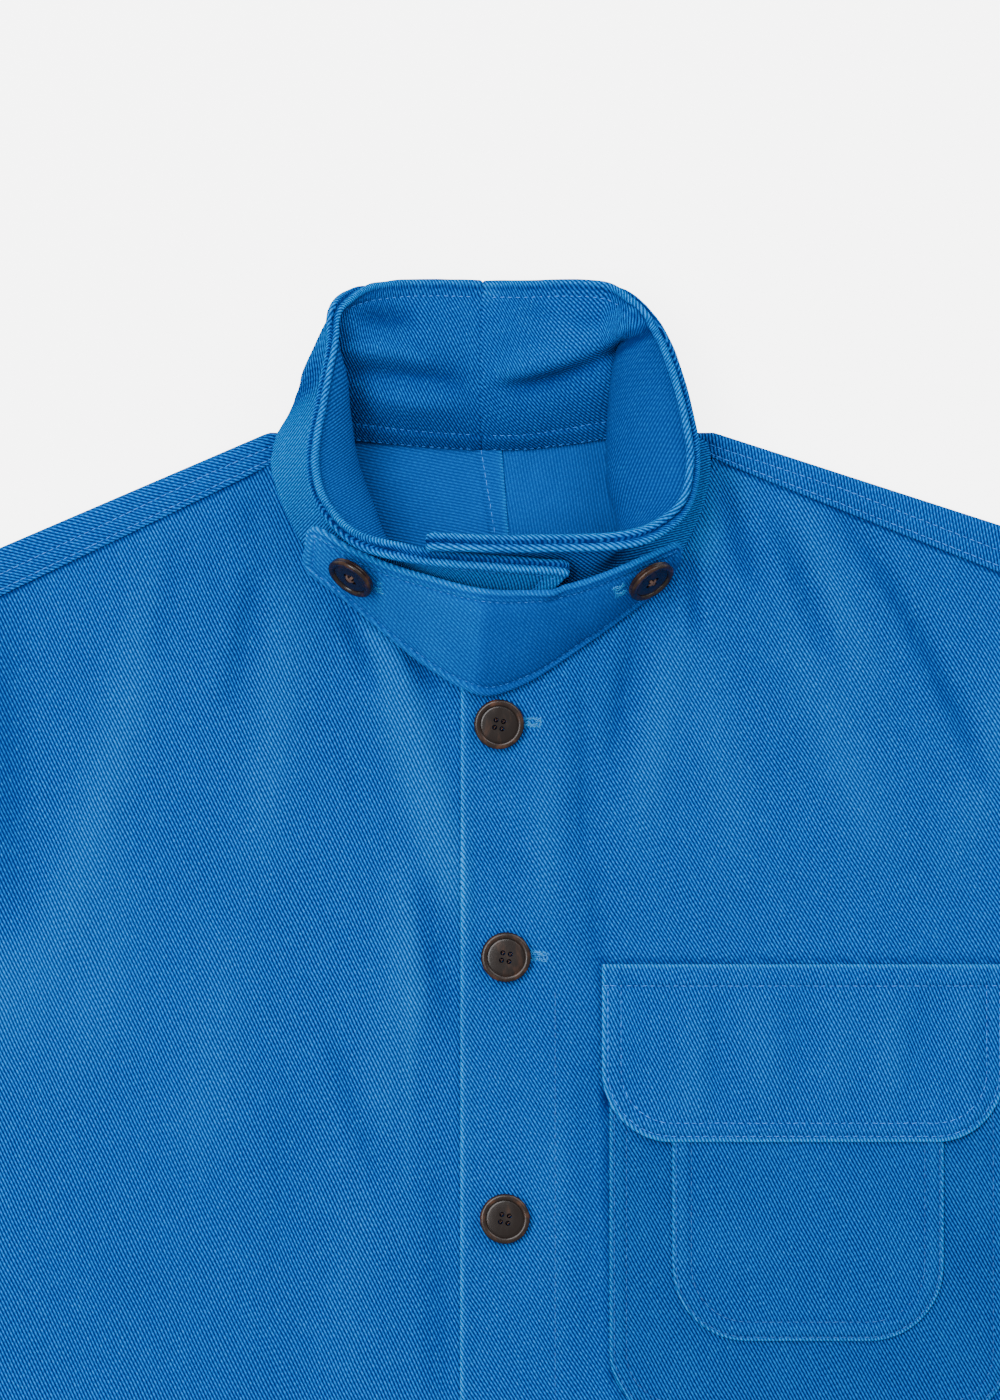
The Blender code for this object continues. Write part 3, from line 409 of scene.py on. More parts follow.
def tab_point(station, drop):
    """Middle of the tab's wall: drop 0 is its upper edge and 1 its lower edge."""
    row = along_rows(TAB_SECTIONS, station)
    top, low = row[..., :3], row[..., 3:]
    drop = np.asarray(drop, dtype=float)[..., None]
    swell = TAB_BULGE * 4 * drop * (1 - drop)
    return top + (low - top) * drop + swell * np.array([0.0, -0.7, 0.7])


def flap_lift(x, y):
    """Extra height of the flap where the patch pocket lies under it."""
    patch = POCKETS["pocket_patch"]
    beside = np.maximum(patch.x0 - x, x - patch.x1)
    past = np.maximum(beside, y - patch.top_y) - FLAP_MARGIN
    return LAYER * (1 - smooth_step(past / FLAP_SPREAD))


def pocket_level(name, x, y):
    """Middle of a pocket piece: each lies a layer above what carries it."""
    if name == "chest_pocket":
        return left_front_level(x, y) + LAYER
    if name == "pocket_patch":
        return left_front_level(x, y) + 2 * LAYER
    return left_front_level(x, y) + 2 * LAYER + flap_lift(x, y) + fold_height(x, y, FLAP_FOLDS)


# Mesh making

def unit(vectors):
    """Vectors along the last axis, made 1 long."""
    return vectors / np.linalg.norm(vectors, axis=-1, keepdims=True)


def running_length(points):
    """Length run so far along each row of points, from 0."""
    run = np.cumsum(np.linalg.norm(np.diff(points, axis=-2), axis=-1), axis=-1)
    return np.concatenate([np.zeros(run.shape[:-1] + (1,)), run], axis=-1)


def nearest(values, wanted):
    """Number of the value that comes nearest to the wanted one."""
    return int(np.argmin(np.abs(np.asarray(values) - wanted)))


def neighbour_mean(grid):
    """Mean of each place's four neighbours in a grid."""
    wide = np.pad(grid, [(1, 1), (1, 1)] + [(0, 0)] * (grid.ndim - 2), mode="edge")
    return (wide[:-2, 1:-1] + wide[2:, 1:-1] + wide[1:-1, :-2] + wide[1:-1, 2:]) / 4


def grid_normals(grid, closed=False):
    """Unit normals of a grid of points, by the change along both directions."""
    if closed:
        wide = np.concatenate([grid[:, -1:], grid, grid[:, :1]], axis=1)
        along = np.gradient(wide, axis=1)[:, 1:-1]
    else:
        along = np.gradient(grid, axis=1)
    normal = np.cross(along, np.gradient(grid, axis=0))
    return normal / np.maximum(np.linalg.norm(normal, axis=2, keepdims=True), 1e-9)


def upper_normals(grid):
    """Unit normals of a laid grid, on its upper side."""
    normal = grid_normals(grid)
    return -normal if normal[..., 2].mean() < 0 else normal


def grid_quads(rows, columns, start=0, closed=False):
    """Faces of a grid whose points run row by row."""
    across = columns if closed else columns - 1
    r, c = np.meshgrid(np.arange(rows - 1), np.arange(across), indexing="ij")
    beside = (c + 1) % columns
    quads = np.stack([r * columns + c, r * columns + beside,
                      (r + 1) * columns + beside, (r + 1) * columns + c], axis=-1)
    return quads.reshape(-1, 4) + start


def to_metres(points):
    """The frame's coordinates of points in plan millimetres."""
    return ((np.array(points) + PLAN_SHIFT) * MM).tolist()


def add_object(name, data):
    """A new object in the scene's collection, at the origin."""
    piece = bpy.data.objects.new(name, data)
    bpy.context.collection.objects.link(piece)
    return piece


def fix_to_coat(piece, slot_name, replaces=False):
    """Lets a piece ride on the coat, and if wanted hides the part whose place it takes."""
    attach(piece, "root")
    if replaces:
        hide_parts(slot_name)


def cloth_piece(name, points, quads, corner_uvs, wear, nap, finish):
    """A closed piece of cloth in its node's place, with UVs in millimetres, its worn places and its painted
    light and shade.
    """
    mesh = bpy.data.meshes.new(name)
    mesh.from_pydata(to_metres(points), [], np.asarray(quads).tolist())
    layer = mesh.uv_layers.new(name="cloth")
    layer.data.foreach_set("uv", np.asarray(corner_uvs, dtype=np.float32).ravel())
    for key, value in (("wear", wear), ("nap", nap)):
        spread = mesh.attributes.new(key, "FLOAT", "POINT")
        spread.data.foreach_set("value", np.asarray(value, dtype=np.float32).ravel())
    mesh.materials.append(finish)
    mesh.shade_smooth()
    work = bmesh.new()
    work.from_mesh(mesh)
    bmesh.ops.remove_doubles(work, verts=work.verts, dist=MERGE_DISTANCE)
    bmesh.ops.dissolve_degenerate(work, edges=work.edges, dist=SLIVER_WIDTH)
    bmesh.ops.recalc_face_normals(work, faces=work.faces)
    work.to_mesh(mesh)
    work.free()
    piece = add_object(name, mesh)
    fix_to_coat(piece, name, replaces=True)
    return piece


def shut_walls(name, outer, inner, faces, rims, uv, wear, nap, finish, round_length=0.0):
    """A closed piece from two sheets with the same faces, joined along their rims, above the floor."""
    count = len(outer)
    points = np.concatenate([outer, inner])
    points[:, 2] = np.maximum(points[:, 2], FLOOR_GAP)
    joins = [np.stack([b, a, a + count, b + count], axis=-1) for a, b in rims]
    quads = np.concatenate([faces, faces[:, ::-1] + count, *joins])
    corner = np.concatenate([uv, uv])[quads.ravel()].reshape(-1, 4, 2)
    if round_length:
        behind = corner[..., 0] < corner[..., :1].max(axis=1) - round_length / 2
        corner[..., 0] += np.where(behind, round_length, 0.0)
    wear, nap = (np.concatenate([values, values]) for values in (wear, nap))
    return cloth_piece(name, points, quads, corner, wear, nap, finish)


def cloth_shell(name, mid, half, relief, wear, nap, finish):
    """Thin closed wall about a grid: half is half its thickness, relief lifts the upper side."""
    normal = upper_normals(mid)
    upper = mid + normal * (half + relief)[..., None]
    lower = mid - normal * half[..., None]
    rows, columns = mid.shape[:2]
    index = np.arange(rows * columns).reshape(rows, columns)
    rim = np.concatenate([index[0, :], index[1:, -1], index[-1, -2::-1], index[-2:0:-1, 0]])
    return shut_walls(name, upper.reshape(-1, 3), lower.reshape(-1, 3), grid_quads(rows, columns),
                      [(rim, np.roll(rim, -1))], mid[..., :2].reshape(-1, 2), wear.ravel(),
                      np.broadcast_to(nap, wear.shape).ravel(), finish)


def round_edge(distance, radius):
    """Share of full thickness near a rounded edge."""
    inside = 1 - np.clip(distance / radius, 0, 1)
    return np.sqrt(np.maximum(1 - inside ** 2, 0.0))


def row_bumps(distance, rows, width):
    """A soft ridge about each of several stitch rows."""
    return sum(bump(distance - row, width) for row in rows)


# Shader node groups and finishes

def set_sockets(tree, node, values):
    """Sets a node's sockets, by name or number, to plain values or links them to other sockets."""
    for key, value in values.items():
        if isinstance(value, bpy.types.NodeSocket):
            tree.links.new(value, node.inputs[key])
        else:
            node.inputs[key].default_value = value


def add_node(tree, kind, inputs=None, **settings):
    """A node with its settings and its sockets."""
    node = tree.nodes.new(kind)
    for key, value in settings.items():
        setattr(node, key, value)
    set_sockets(tree, node, inputs or {})
    return node


def compute(tree, operation, *values, clamp=False):
    """A Math node's result."""
    node = add_node(tree, "ShaderNodeMath", dict(enumerate(values)), operation=operation, use_clamp=clamp)
    return node.outputs[0]


def sums(tree):
    """Makers of a tree's products, sums, differences, and products with a third value added."""
    return [partial(compute, tree, kind) for kind in ("MULTIPLY", "ADD", "SUBTRACT", "MULTIPLY_ADD")]


def noise(tree, vector, scale, detail=2.0, roughness=0.5):
    """Even noise between 0 and 1."""
    node = add_node(tree, "ShaderNodeTexNoise", {"Vector": vector, "Scale": scale, "Detail": detail,
                                                "Roughness": roughness})
    return node.outputs["Fac"]


def luck_of(tree, place, dimensions):
    """A random value between 0 and 1 for each place."""
    return add_node(tree, "ShaderNodeTexWhiteNoise", place, noise_dimensions=dimensions).outputs["Value"]


def dented(tree, height, strength, distance):
    """A shading normal with fine relief."""
    node = add_node(tree, "ShaderNodeBump", {"Height": height, "Strength": strength, "Distance": distance})
    return node.outputs["Normal"]


def spread_value(tree, name):
    """A value that the mesh holds at its points."""
    return add_node(tree, "ShaderNodeAttribute", attribute_name=name).outputs["Fac"]


def blend_colour(tree, share, first, second):
    """Mixes two colours by a share."""
    return add_node(tree, "ShaderNodeMix", {0: share, 6: first, 7: second}, data_type="RGBA").outputs[2]


def opaque(colour, shade=1.0):
    """A colour as a socket takes it, darker or lighter by a shade."""
    return (*(part * shade for part in colour), 1)


def new_group(name, inputs, outputs, kind="ShaderNodeTree"):
    """An empty node group with its sockets, and its two end nodes."""
    group = bpy.data.node_groups.new(name, kind)
    for label, sort, value in inputs:
        socket = group.interface.new_socket(label, in_out="INPUT", socket_type="NodeSocket" + sort)
        if value is not None:
            socket.default_value = value
    for label, sort in outputs:
        group.interface.new_socket(label, in_out="OUTPUT", socket_type="NodeSocket" + sort)
    return group, group.nodes.new("NodeGroupInput").outputs, group.nodes.new("NodeGroupOutput")


def weave_group():
    """Diagonal twill: ribs broken into short floats of yarn. The vector is in millimetres."""
    name = "Twill weave"
    if name in bpy.data.node_groups:
        return bpy.data.node_groups[name]
    group, given, end = new_group(name, [
        ("Vector", "Vector", None), ("Angle", "Float", -1.0), ("Pitch", "Float", 1.2),
        ("Float length", "Float", 2.4)], [("Rib", "Float"), ("Height", "Float"), ("Fleck", "Float")])
    times, plus, minus, fit = sums(group)

    def wave_of(turns):
        """A wave between 0 and 1 over a number of turns."""
        return fit(compute(group, "SINE", times(turns, 2 * math.pi)), 0.5, 0.5)

    place = given["Vector"]
    x, y = add_node(group, "ShaderNodeSeparateXYZ", {0: place}).outputs[:2]
    cosine = compute(group, "COSINE", given["Angle"])
    sine = compute(group, "SINE", given["Angle"])
    along = plus(times(x, cosine), times(y, sine))
    across = minus(times(y, cosine), times(x, sine))
    drift = times(noise(group, place, 0.03, 1.0), 1.8)
    shiver = times(noise(group, place, 0.8), 0.28)
    phase = compute(group, "DIVIDE", plus(across, plus(drift, shiver)), given["Pitch"])
    number = compute(group, "FLOOR", phase)
    chance = luck_of(group, {"W": number}, "1D")
    step = fit(number, 0.37, times(chance, 0.35))
    run = plus(compute(group, "DIVIDE", along, given["Float length"]), step)
    wave, dash = wave_of(phase), wave_of(run)
    lit = times(wave, fit(dash, 0.55, 0.55))
    short = compute(group, "FLOOR", times(run, 2.3))
    cell = add_node(group, "ShaderNodeCombineXYZ", {"X": number, "Y": short}).outputs[0]
    rare = fit(luck_of(group, {"Vector": cell}, "2D"), 4.0, -3.0, clamp=True)
    set_sockets(group, end, {"Rib": lit, "Fleck": times(rare, lit, clamp=True),
                             "Height": times(wave, fit(dash, 0.35, 0.65))})
    return group


def dye_group():
    """Faded dye: deep between the ribs, light on them, pale where it is worn and where light is painted,
    soft where napped, and darker where the value falls below zero, as painted shade and as dye kept deep in
    grooves.
    """
    name = "Worn dye"
    if name in bpy.data.node_groups:
        return bpy.data.node_groups[name]
    group, given, end = new_group(name, [
        ("Vector", "Vector", None), ("Rib", "Float", 0.5), ("Fleck", "Float", 0.0), ("Wear", "Float", 0.0),
        ("Nap", "Float", 0.0), ("Deep", "Color", (0, 0, 0, 1)), ("Light", "Color", (1, 1, 1, 1)),
        ("Pale", "Color", (1, 1, 1, 1))], [("Color", "Color")])
    times, _, minus, fit = sums(group)
    rib, wear, nap = given["Rib"], given["Wear"], given["Nap"]
    cloud, mottle, fuzz = (minus(noise(group, given["Vector"], *grain), 0.5)
                           for grain in ((0.02, 3.0), (0.16, 3.0), (1.9, 2.0, 0.7)))
    contrast = fit(nap, -1.35, 1.55)
    level = fit(minus(rib, RIB_MIDDLE), contrast, RIB_MIDDLE)
    level = fit(mottle, 0.10, fit(cloud, 0.16, level))
    level = fit(fuzz, fit(nap, 0.3, 0.35), level)
    # Below zero the dye darkens: painted shade in grooves, creases and under edges, along with dye kept deep
    # in the grooves.
    kept_dye_and_painted_shade = times(wear, -0.9, clamp=True)
    level = times(level, minus(fit(nap, -0.04, 1.0), kept_dye_and_painted_shade), clamp=True)
    base = blend_colour(group, level, given["Deep"], given["Light"])
    # Above zero the colour goes pale: real wear, and painted light where a shaded place is lifted.
    rub_and_painted_light = fit(fuzz, 0.9, fit(rib, 0.9, 0.12))
    rub_and_painted_light = times(rub_and_painted_light, compute(group, "MAXIMUM", wear, 0.0))
    rub_and_painted_light = fit(times(given["Fleck"], contrast), 0.22, rub_and_painted_light, clamp=True)
    set_sockets(group, end, {"Color": blend_colour(group, rub_and_painted_light, base, given["Pale"])})
    return group


def new_finish(name):
    """A new material, its node tree and its surface shader."""
    finish = bpy.data.materials.new(name)
    finish.use_nodes = True
    return finish, finish.node_tree, finish.node_tree.nodes["Principled BSDF"]


def cloth_finish(name, look, angle, shade=1.0, pitch=1.0):
    """Worn cotton twill on the piece's own UV map, its ribs at an angle in degrees."""
    finish, tree, shader = new_finish(name)
    cloth = add_node(tree, "ShaderNodeUVMap", uv_map="cloth").outputs["UV"]
    weave = add_node(tree, "ShaderNodeGroup", {"Vector": cloth, "Angle": math.radians(angle),
                                               "Pitch": look.rib_pitch / MM * pitch},
                     node_tree=weave_group()).outputs
    dye = add_node(tree, "ShaderNodeGroup", {
        "Vector": cloth, "Rib": weave["Rib"], "Fleck": weave["Fleck"], "Wear": spread_value(tree, "wear"),
        "Nap": spread_value(tree, "nap"), "Deep": opaque(look.deep_colour, shade),
        "Light": opaque(look.light_colour, shade), "Pale": opaque(look.pale_colour, shade),
    }, node_tree=dye_group())
    set_sockets(tree, shader, {
        "Base Color": dye.outputs["Color"], "Normal": dented(tree, weave["Height"], 0.75, 0.0004),
        "Roughness": 0.9, "Specular IOR Level": 0.0, "Sheen Weight": 0.05, "Sheen Roughness": 0.5,
        "Sheen Tint": (0.02, 0.35, 1.0, 1)})
    return finish


def thread_finish(name, colour):
    """Sewing thread: fine light and dark along its length."""
    if name in bpy.data.materials:
        return bpy.data.materials[name]
    finish, tree, shader = new_finish(name)
    place = add_node(tree, "ShaderNodeTexCoord").outputs["Object"]
    shades = blend_colour(tree, noise(tree, place, 700.0), opaque(colour, 0.55), opaque(colour))
    set_sockets(tree, shader, {"Base Color": shades, "Roughness": 0.7})
    return finish


def deep_thread(look):
    """Thread of nearly the cloth's own blue, for rows that hardly show."""
    red, green, blue = look.thread_colour
    return thread_finish("deep thread", (0.2 * red, 0.5 * green, 0.5 * blue))


def horn_finish(look):
    """Dark polished horn with brown streaks, and paler where the rim is rubbed."""
    finish, tree, shader = new_finish("dark horn")
    times, _, _, fit = sums(tree)
    place = add_node(tree, "ShaderNodeTexCoord").outputs["Object"]
    bent = add_node(tree, "ShaderNodeMapping", {"Vector": place, "Rotation": (0.5, 0.3, 0.8),
                                                "Scale": (1.0, 0.35, 0.6)}).outputs[0]
    streak = noise(tree, bent, 260.0, 4.0, 0.6)
    base = blend_colour(tree, fit(streak, 5.0, -2.75, clamp=True), opaque(look.horn_colour),
                        opaque(look.horn_streak_colour))
    patch = fit(noise(tree, place, 190.0, 3.0), 4.0, -2.1, clamp=True)
    rub_and_painted_light = times(spread_value(tree, "wear"), fit(patch, 0.8, 0.06), clamp=True)
    set_sockets(tree, shader, {
        "Base Color": blend_colour(tree, rub_and_painted_light, base, opaque(look.horn_rub_colour)),
        "Roughness": fit(streak, 0.24, 0.16), "Specular IOR Level": 0.27,
        "Normal": dented(tree, noise(tree, place, 1500.0, 3.0), 0.15, 0.0001)})
    return finish


# Stitches

def stitch_tree():
    """Geometry Nodes that lay rounded stitches along every edge path of a mesh."""
    name = "Stitch rows"
    if name in bpy.data.node_groups:
        return bpy.data.node_groups[name]
    tree, given, end = new_group(name, [
        ("Paths", "Geometry", None), ("Pitch", "Float", None), ("Length", "Float", None),
        ("Thickness", "Float", None), ("Seed", "Int", None), ("Thread", "Material", None)],
        [("Stitches", "Geometry")], "GeometryNodeTree")

    def step(kind, inputs=None, output=0, **settings):
        """One node's result."""
        return add_node(tree, kind, inputs, **settings).outputs[output]

    curve = step("GeometryNodeMeshToCurve", {0: given["Paths"]})
    even = step("GeometryNodeResampleCurve", {"Curve": curve, "Length": given["Pitch"]}, mode="LENGTH")
    lie = step("FunctionNodeAlignRotationToVector", {"Vector": step("GeometryNodeInputTangent")}, axis="Z")
    swing = step("FunctionNodeRandomValue", {0: (-STITCH_SWING, -STITCH_SWING, 0),
                                             1: (STITCH_SWING, STITCH_SWING, 0), "Seed": given["Seed"]},
                 data_type="FLOAT_VECTOR")
    facing = step("FunctionNodeRotateRotation", {0: lie, 1: step("FunctionNodeEulerToRotation", {0: swing})},
                  rotation_space="LOCAL")
    bead = step("GeometryNodeMeshUVSphere", {"Segments": 6, "Rings": 5, "Radius": 0.5})
    thick = given["Thickness"]
    size = step("ShaderNodeCombineXYZ", {"X": thick, "Y": thick, "Z": given["Length"]})
    spread = step("FunctionNodeRandomValue", {2: STITCH_SIZES[0], 3: STITCH_SIZES[1]}, 1, data_type="FLOAT")
    scaled = step("ShaderNodeVectorMath", {0: size, "Scale": spread}, operation="SCALE")
    laid = step("GeometryNodeInstanceOnPoints", {"Points": even, "Instance": bead, "Rotation": facing,
                                                 "Scale": scaled})
    smooth = step("GeometryNodeSetShadeSmooth", {0: step("GeometryNodeRealizeInstances", {0: laid})})
    done = step("GeometryNodeSetMaterial", {"Geometry": smooth, "Material": given["Thread"]})
    tree.links.new(done, end.inputs[0])
    return tree


def sew(name, paths, look, slot_name, seed, thread=None, pitch=None, length=None):
    """A piece of stitches along paths of plan points in millimetres."""
    points, edges = [], []
    for path in paths:
        first = len(points)
        points += [tuple(p) for p in np.asarray(path)]
        edges += [(i, i + 1) for i in range(first, len(points) - 1)]
    mesh = bpy.data.meshes.new(name)
    mesh.from_pydata(to_metres(points), edges, [])
    row = add_object(name, mesh)
    modifier = row.modifiers.new("rows", "NODES")
    modifier.node_group = stitch_tree()
    sockets = {item.name: item.identifier for item in modifier.node_group.interface.items_tree}
    for label, value in (("Pitch", pitch or look.stitch_pitch), ("Length", length or look.stitch_length),
                         ("Thickness", look.thread_thickness), ("Seed", seed),
                         ("Thread", thread or thread_finish("blue thread", look.thread_colour))):
        modifier[sockets[label]] = value
    plain = bpy.data.meshes.new_from_object(row.evaluated_get(bpy.context.evaluated_depsgraph_get()))
    row.modifiers.clear()
    row.data = plain
    bpy.data.meshes.remove(mesh)
    fix_to_coat(row, slot_name)
    return row


# Surfaces of built pieces

def surface_tree(*pieces):
    """One search tree over some pieces, in plan millimetres."""
    points, faces = [], []
    for piece in pieces:
        start = len(points)
        flat = np.empty(len(piece.data.vertices) * 3, dtype=np.float32)
        piece.data.vertices.foreach_get("co", flat)
        points += (flat.reshape(-1, 3) / MM - PLAN_SHIFT).tolist()
        faces += [[start + i for i in polygon.vertices] for polygon in piece.data.polygons]
    return BVHTree.FromPolygons(points, faces)


def top_of(tree, x, y):
    """Height of the topmost surface at a plan place, or None beside it."""
    hit = tree.ray_cast(Vector((x, y, ABOVE_ALL)), Vector((0, 0, -1)))[0]
    return None if hit is None else hit.z


def draped(tree, path, lift):
    """Drops a plan path on the topmost surface below it."""
    heights = [top_of(tree, x, y) for x, y in path]
    return [(x, y, z + lift) for (x, y), z in zip(path, heights) if z is not None]


def plan_line(x0, y0, x1, y1, step=1.5):
    """Points along a straight plan line."""
    count = max(2, int(math.hypot(x1 - x0, y1 - y0) / step) + 1)
    return np.column_stack([np.linspace(x0, x1, count), np.linspace(y0, y1, count)])


def lay_over(mid, tree, clearance, upward):
    """Moves a grid out along its normals, or up by a share, until it is clear of a surface, and evens it."""
    for _ in range(LAYING_ROUNDS):
        normal = unit(upper_normals(mid) * (1 - upward[..., None]) + UP * upward[..., None])
        lift = np.zeros(mid.shape[:2])
        for index in np.ndindex(*lift.shape):
            out = Vector(normal[index])
            start = Vector(mid[index]) + out * LAYING_REACH
            distance = tree.ray_cast(start, -out, LAYING_REACH + clearance)[3]
            if distance is not None:
                lift[index] = LAYING_REACH + clearance - distance
        for _ in range(LAYING_ROUNDS):
            lift = np.maximum(lift, 0.5 * lift + 0.5 * neighbour_mean(lift))
        mid = mid + normal * lift[..., None]
    return mid


# Body panels

def panel_grid(side, tops, hem_xs, share):
    """Plan grid of a body panel from its top points to the hem, its last column on the outer edge."""
    columns = len(tops)
    edge_y = tops[-1, 1] + (HEM_Y - tops[-1, 1]) * share
    edge_x = side.sign * panel_edge_x(side, edge_y)
    straight_x = tops[-1, 0] + (hem_xs[-1] - tops[-1, 0]) * share
    reach = (np.arange(columns) / (columns - 1)) ** 3
    x = tops[:, 0] + (hem_xs - tops[:, 0]) * share + reach * (edge_x - straight_x)
    y = tops[:, 1] + (HEM_Y - tops[:, 1]) * share
    return x, y


# Fronts

FRONT_STEPS = (0.0, 0.1, 0.3, 0.6, 1.0, 1.6, 2.4, 3.4, 4.6, 5.4, 5.9, 6.4, 6.9, 7.5, 8.6, 10.0, 12.0)
HEM_STEPS = (23.0, 21.4, 20.7, 20.0, 19.3, 18.4, 15.0, 10.0, 6.0, 3.0, 1.4, 0.7, 0.3, 0.1, 0.0)
EVENING_COLUMNS = 12
FRONT_SEAM_GAP = 0.4
EDGE_SLANT = 0.8
EDGE_ROW = 6.4
HEM_ROW = 20.0
FACING_ROW_X = 22.0
FACING_TOP_Y = -118.0
UNDERLAP_FOLD_X = -35.6


def front_rows(top_y):
    """Shares of a front's height: close down to below the photo's edge, then wider."""
    length = top_y - HEM_Y
    seen = np.concatenate([[0.0, 2.5], np.arange(4.0, 12.2, 0.8), np.arange(13.5, top_y + 300.0, 2.5)])
    rest = np.linspace(seen[-1] + 4.0, length - 24.0, 32)
    return np.concatenate([seen, rest, length - np.array(HEM_STEPS)]) / length


def front_plan(side, table):
    """Plan grid of a front panel: from its front edge round the neck and out to the side seam."""
    sign = side.sign
    width = abs(side.step_x - side.front_edge_x)
    tops = [(side.front_edge_x + sign * d, side.step_y - FRONT_SEAM_GAP * (1 - d / width))
            for d in FRONT_STEPS]
    tops.append((side.step_x, side.step_y))
    stations = np.linspace(len(table) - 1, NECK_POINT_ROW, 40)
    tops += neck_seam_point(table, stations, -FRONT_SEAM_GAP).tolist()
    for share in np.linspace(0.012, 1, 56):
        x = side.neck_x + (SHOULDER_X - side.neck_x) * share
        tops.append((sign * x, float(shoulder_seam_y(side, x)) + 5.5 + 2.5 * share))
    tops = np.array(tops)
    hem_edge = side.front_edge_x - EDGE_SLANT * sign
    even = np.linspace(hem_edge, sign * HEM_HALF_WIDTH, len(tops))
    hem_xs = 0.45 * tops[:, 0] * HEM_HALF_WIDTH / SHOULDER_X + 0.55 * even
    near = len(FRONT_STEPS)
    far = near + EVENING_COLUMNS
    hem_xs[:near] = hem_edge + sign * np.array(FRONT_STEPS)
    hem_xs[near:far] = np.linspace(hem_xs[near - 1], hem_xs[far], EVENING_COLUMNS + 2)[1:-1]
    hem_xs[-1] = sign * HEM_HALF_WIDTH
    return panel_grid(side, tops, hem_xs, front_rows(tops[-1, 1])[:, None])


def shadow_of_pocket(pocket, x, y):
    """How dark the cloth is just outside a pocket's worn edge."""
    outside = np.maximum(-pocket_edges(pocket, x, y), y - pocket.top_y)
    return bump(outside - 0.6, 1.5) * (outside > -1)


def build_front(name, side, table, level, finish):
    """Front panel with its turned edge, its hem, its puckered seams, its worn places and its painted light
    and shade.
    """
    x, y = front_plan(side, table)
    drop = (side.step_y - y) / (side.step_y - HEM_Y)
    from_edge = side.sign * (x - side.front_edge_x) + EDGE_SLANT * drop
    from_hem = y - HEM_Y
    half = CLOTH / 2 * round_edge(np.minimum(from_edge, from_hem), 0.9)
    relief = 0.6 * bump(from_edge - 2.6, 2.6) * round_edge(from_edge, 1.6)
    relief = relief - 0.2 * bump(from_edge - EDGE_ROW, 1.4)
    relief = relief + 0.32 * soft_noise(x * 0.2, y, 7.5, 5) * bump(from_edge - EDGE_ROW - 0.5, 3.6)
    relief = relief - 0.35 * bump(from_hem - HEM_ROW, 0.9) + 0.4 * smooth_step((HEM_ROW + 1 - from_hem) / 2)
    uneven = 1 + 0.35 * soft_noise(x * 0.1, y, 13.0, 7)
    wear = 1.35 * uneven * bump(from_edge - 0.2, 0.95) + 0.08 * bump(from_edge - 3.0, 3.0)
    # Hem rubbed pale; fold ridges paler and troughs darker, partly real fading along the creases, partly
    # painted light and shade on the folds.
    wear = wear + 0.9 * bump(from_hem, 2.0) + 0.14 * np.clip(fold_height(x, y, FRONT_FOLDS), -3.5, 2.4)
    # Painted shade darker towards the bottom, and a painted shadow line just below the back's lapped edge.
    wear = wear - 0.07 * smooth_step((-170 - y) / 90) - 0.9 * bump(shoulder_seam_y(side, x) - y - 0.5, 0.9)
    if side.sign > 0:
        for over in ("chest_pocket", "pocket_flap"):
            wear = wear - 0.7 * shadow_of_pocket(POCKETS[over], x, y)
        # Painted light beside the collar's side, lifting the shade that the collar casts on this front.
        from_neck = (neck_ring(x, y)[0] - 1.04) * NECK_RADII[1]
        wear = wear + 0.45 * bump(from_neck, 9.0) * smooth_step((x - 55) / 20) * smooth_step((y - 44) / 20)
        below = smooth_step((FACING_TOP_Y - y) / 12)
        from_row = x - FACING_ROW_X
        relief = relief - 0.45 * below * bump(from_row, 0.9)
        relief = relief + 0.2 * below * soft_noise(x * 0.3, y, 8, 6) * bump(from_row, 3.4)
        relief = relief + 0.25 * below * smooth_step(-from_row / 2)
        # Pale beside the facing row and darker in its groove, partly painted shade, partly dye kept deep
        # there.
        wear = wear + below * (0.1 * bump(from_row - 1.5, 1.6) - 0.25 * bump(from_row, 0.6))
    else:
        fold = smooth_step((-105 - y) / 40) * bump(x - UNDERLAP_FOLD_X, 1.8)
        relief = relief + 0.35 * fold
        wear = wear + 0.22 * fold
    nap = 0.12 + 0.12 * soft_noise(x, y, 120, 11)
    return cloth_shell(name, np.stack([x, y, level(x, y)], axis=-1), half, relief, wear, nap, finish)


# Backs

LAP_HEIGHT = CLOTH + 0.12
BACK_ROW = ((-7.6, 100.4), (-2.0, 66.0))
BACK_EDGE = ((0.8, 100.4), (3.6, 66.0))
BACK_HEM_SHIFT = 3.0
BACK_SEAM_GAP = 0.3
CENTRE_STEPS = (0, 0.2, 0.5, 1.0, 1.8, 3.0, 4.4, 5.8, 7.0, 7.8, 8.4, 9.0, 9.8, 11.0, 13.0)
CENTRE_COLUMNS = 22
STRIP_STEPS = (0.0, 0.1, 0.3, 0.6, 1.1, 1.8, 2.5, 3.2, 4.2, 5.6, 7.0, 7.8, 8.6, 9.4, 10.6)
STRIP_ROWS = (2.5, 8.6)
ROLL_TURNS = (18, 36, 54, 72, 90, 112, 135, 158)
THREAD_SINK = 0.12


def seam_line(line, y):
    """A line by two plan points, that runs straight on below them to the hem."""
    (x0, y0), (x1, y1) = line
    slope = (x1 - x0) / (y0 - y1)
    near = x0 + (y0 - np.maximum(y, y1)) * slope
    return near + BACK_HEM_SHIFT * np.clip((y1 - y) / (y1 - HEM_Y), 0, 1)


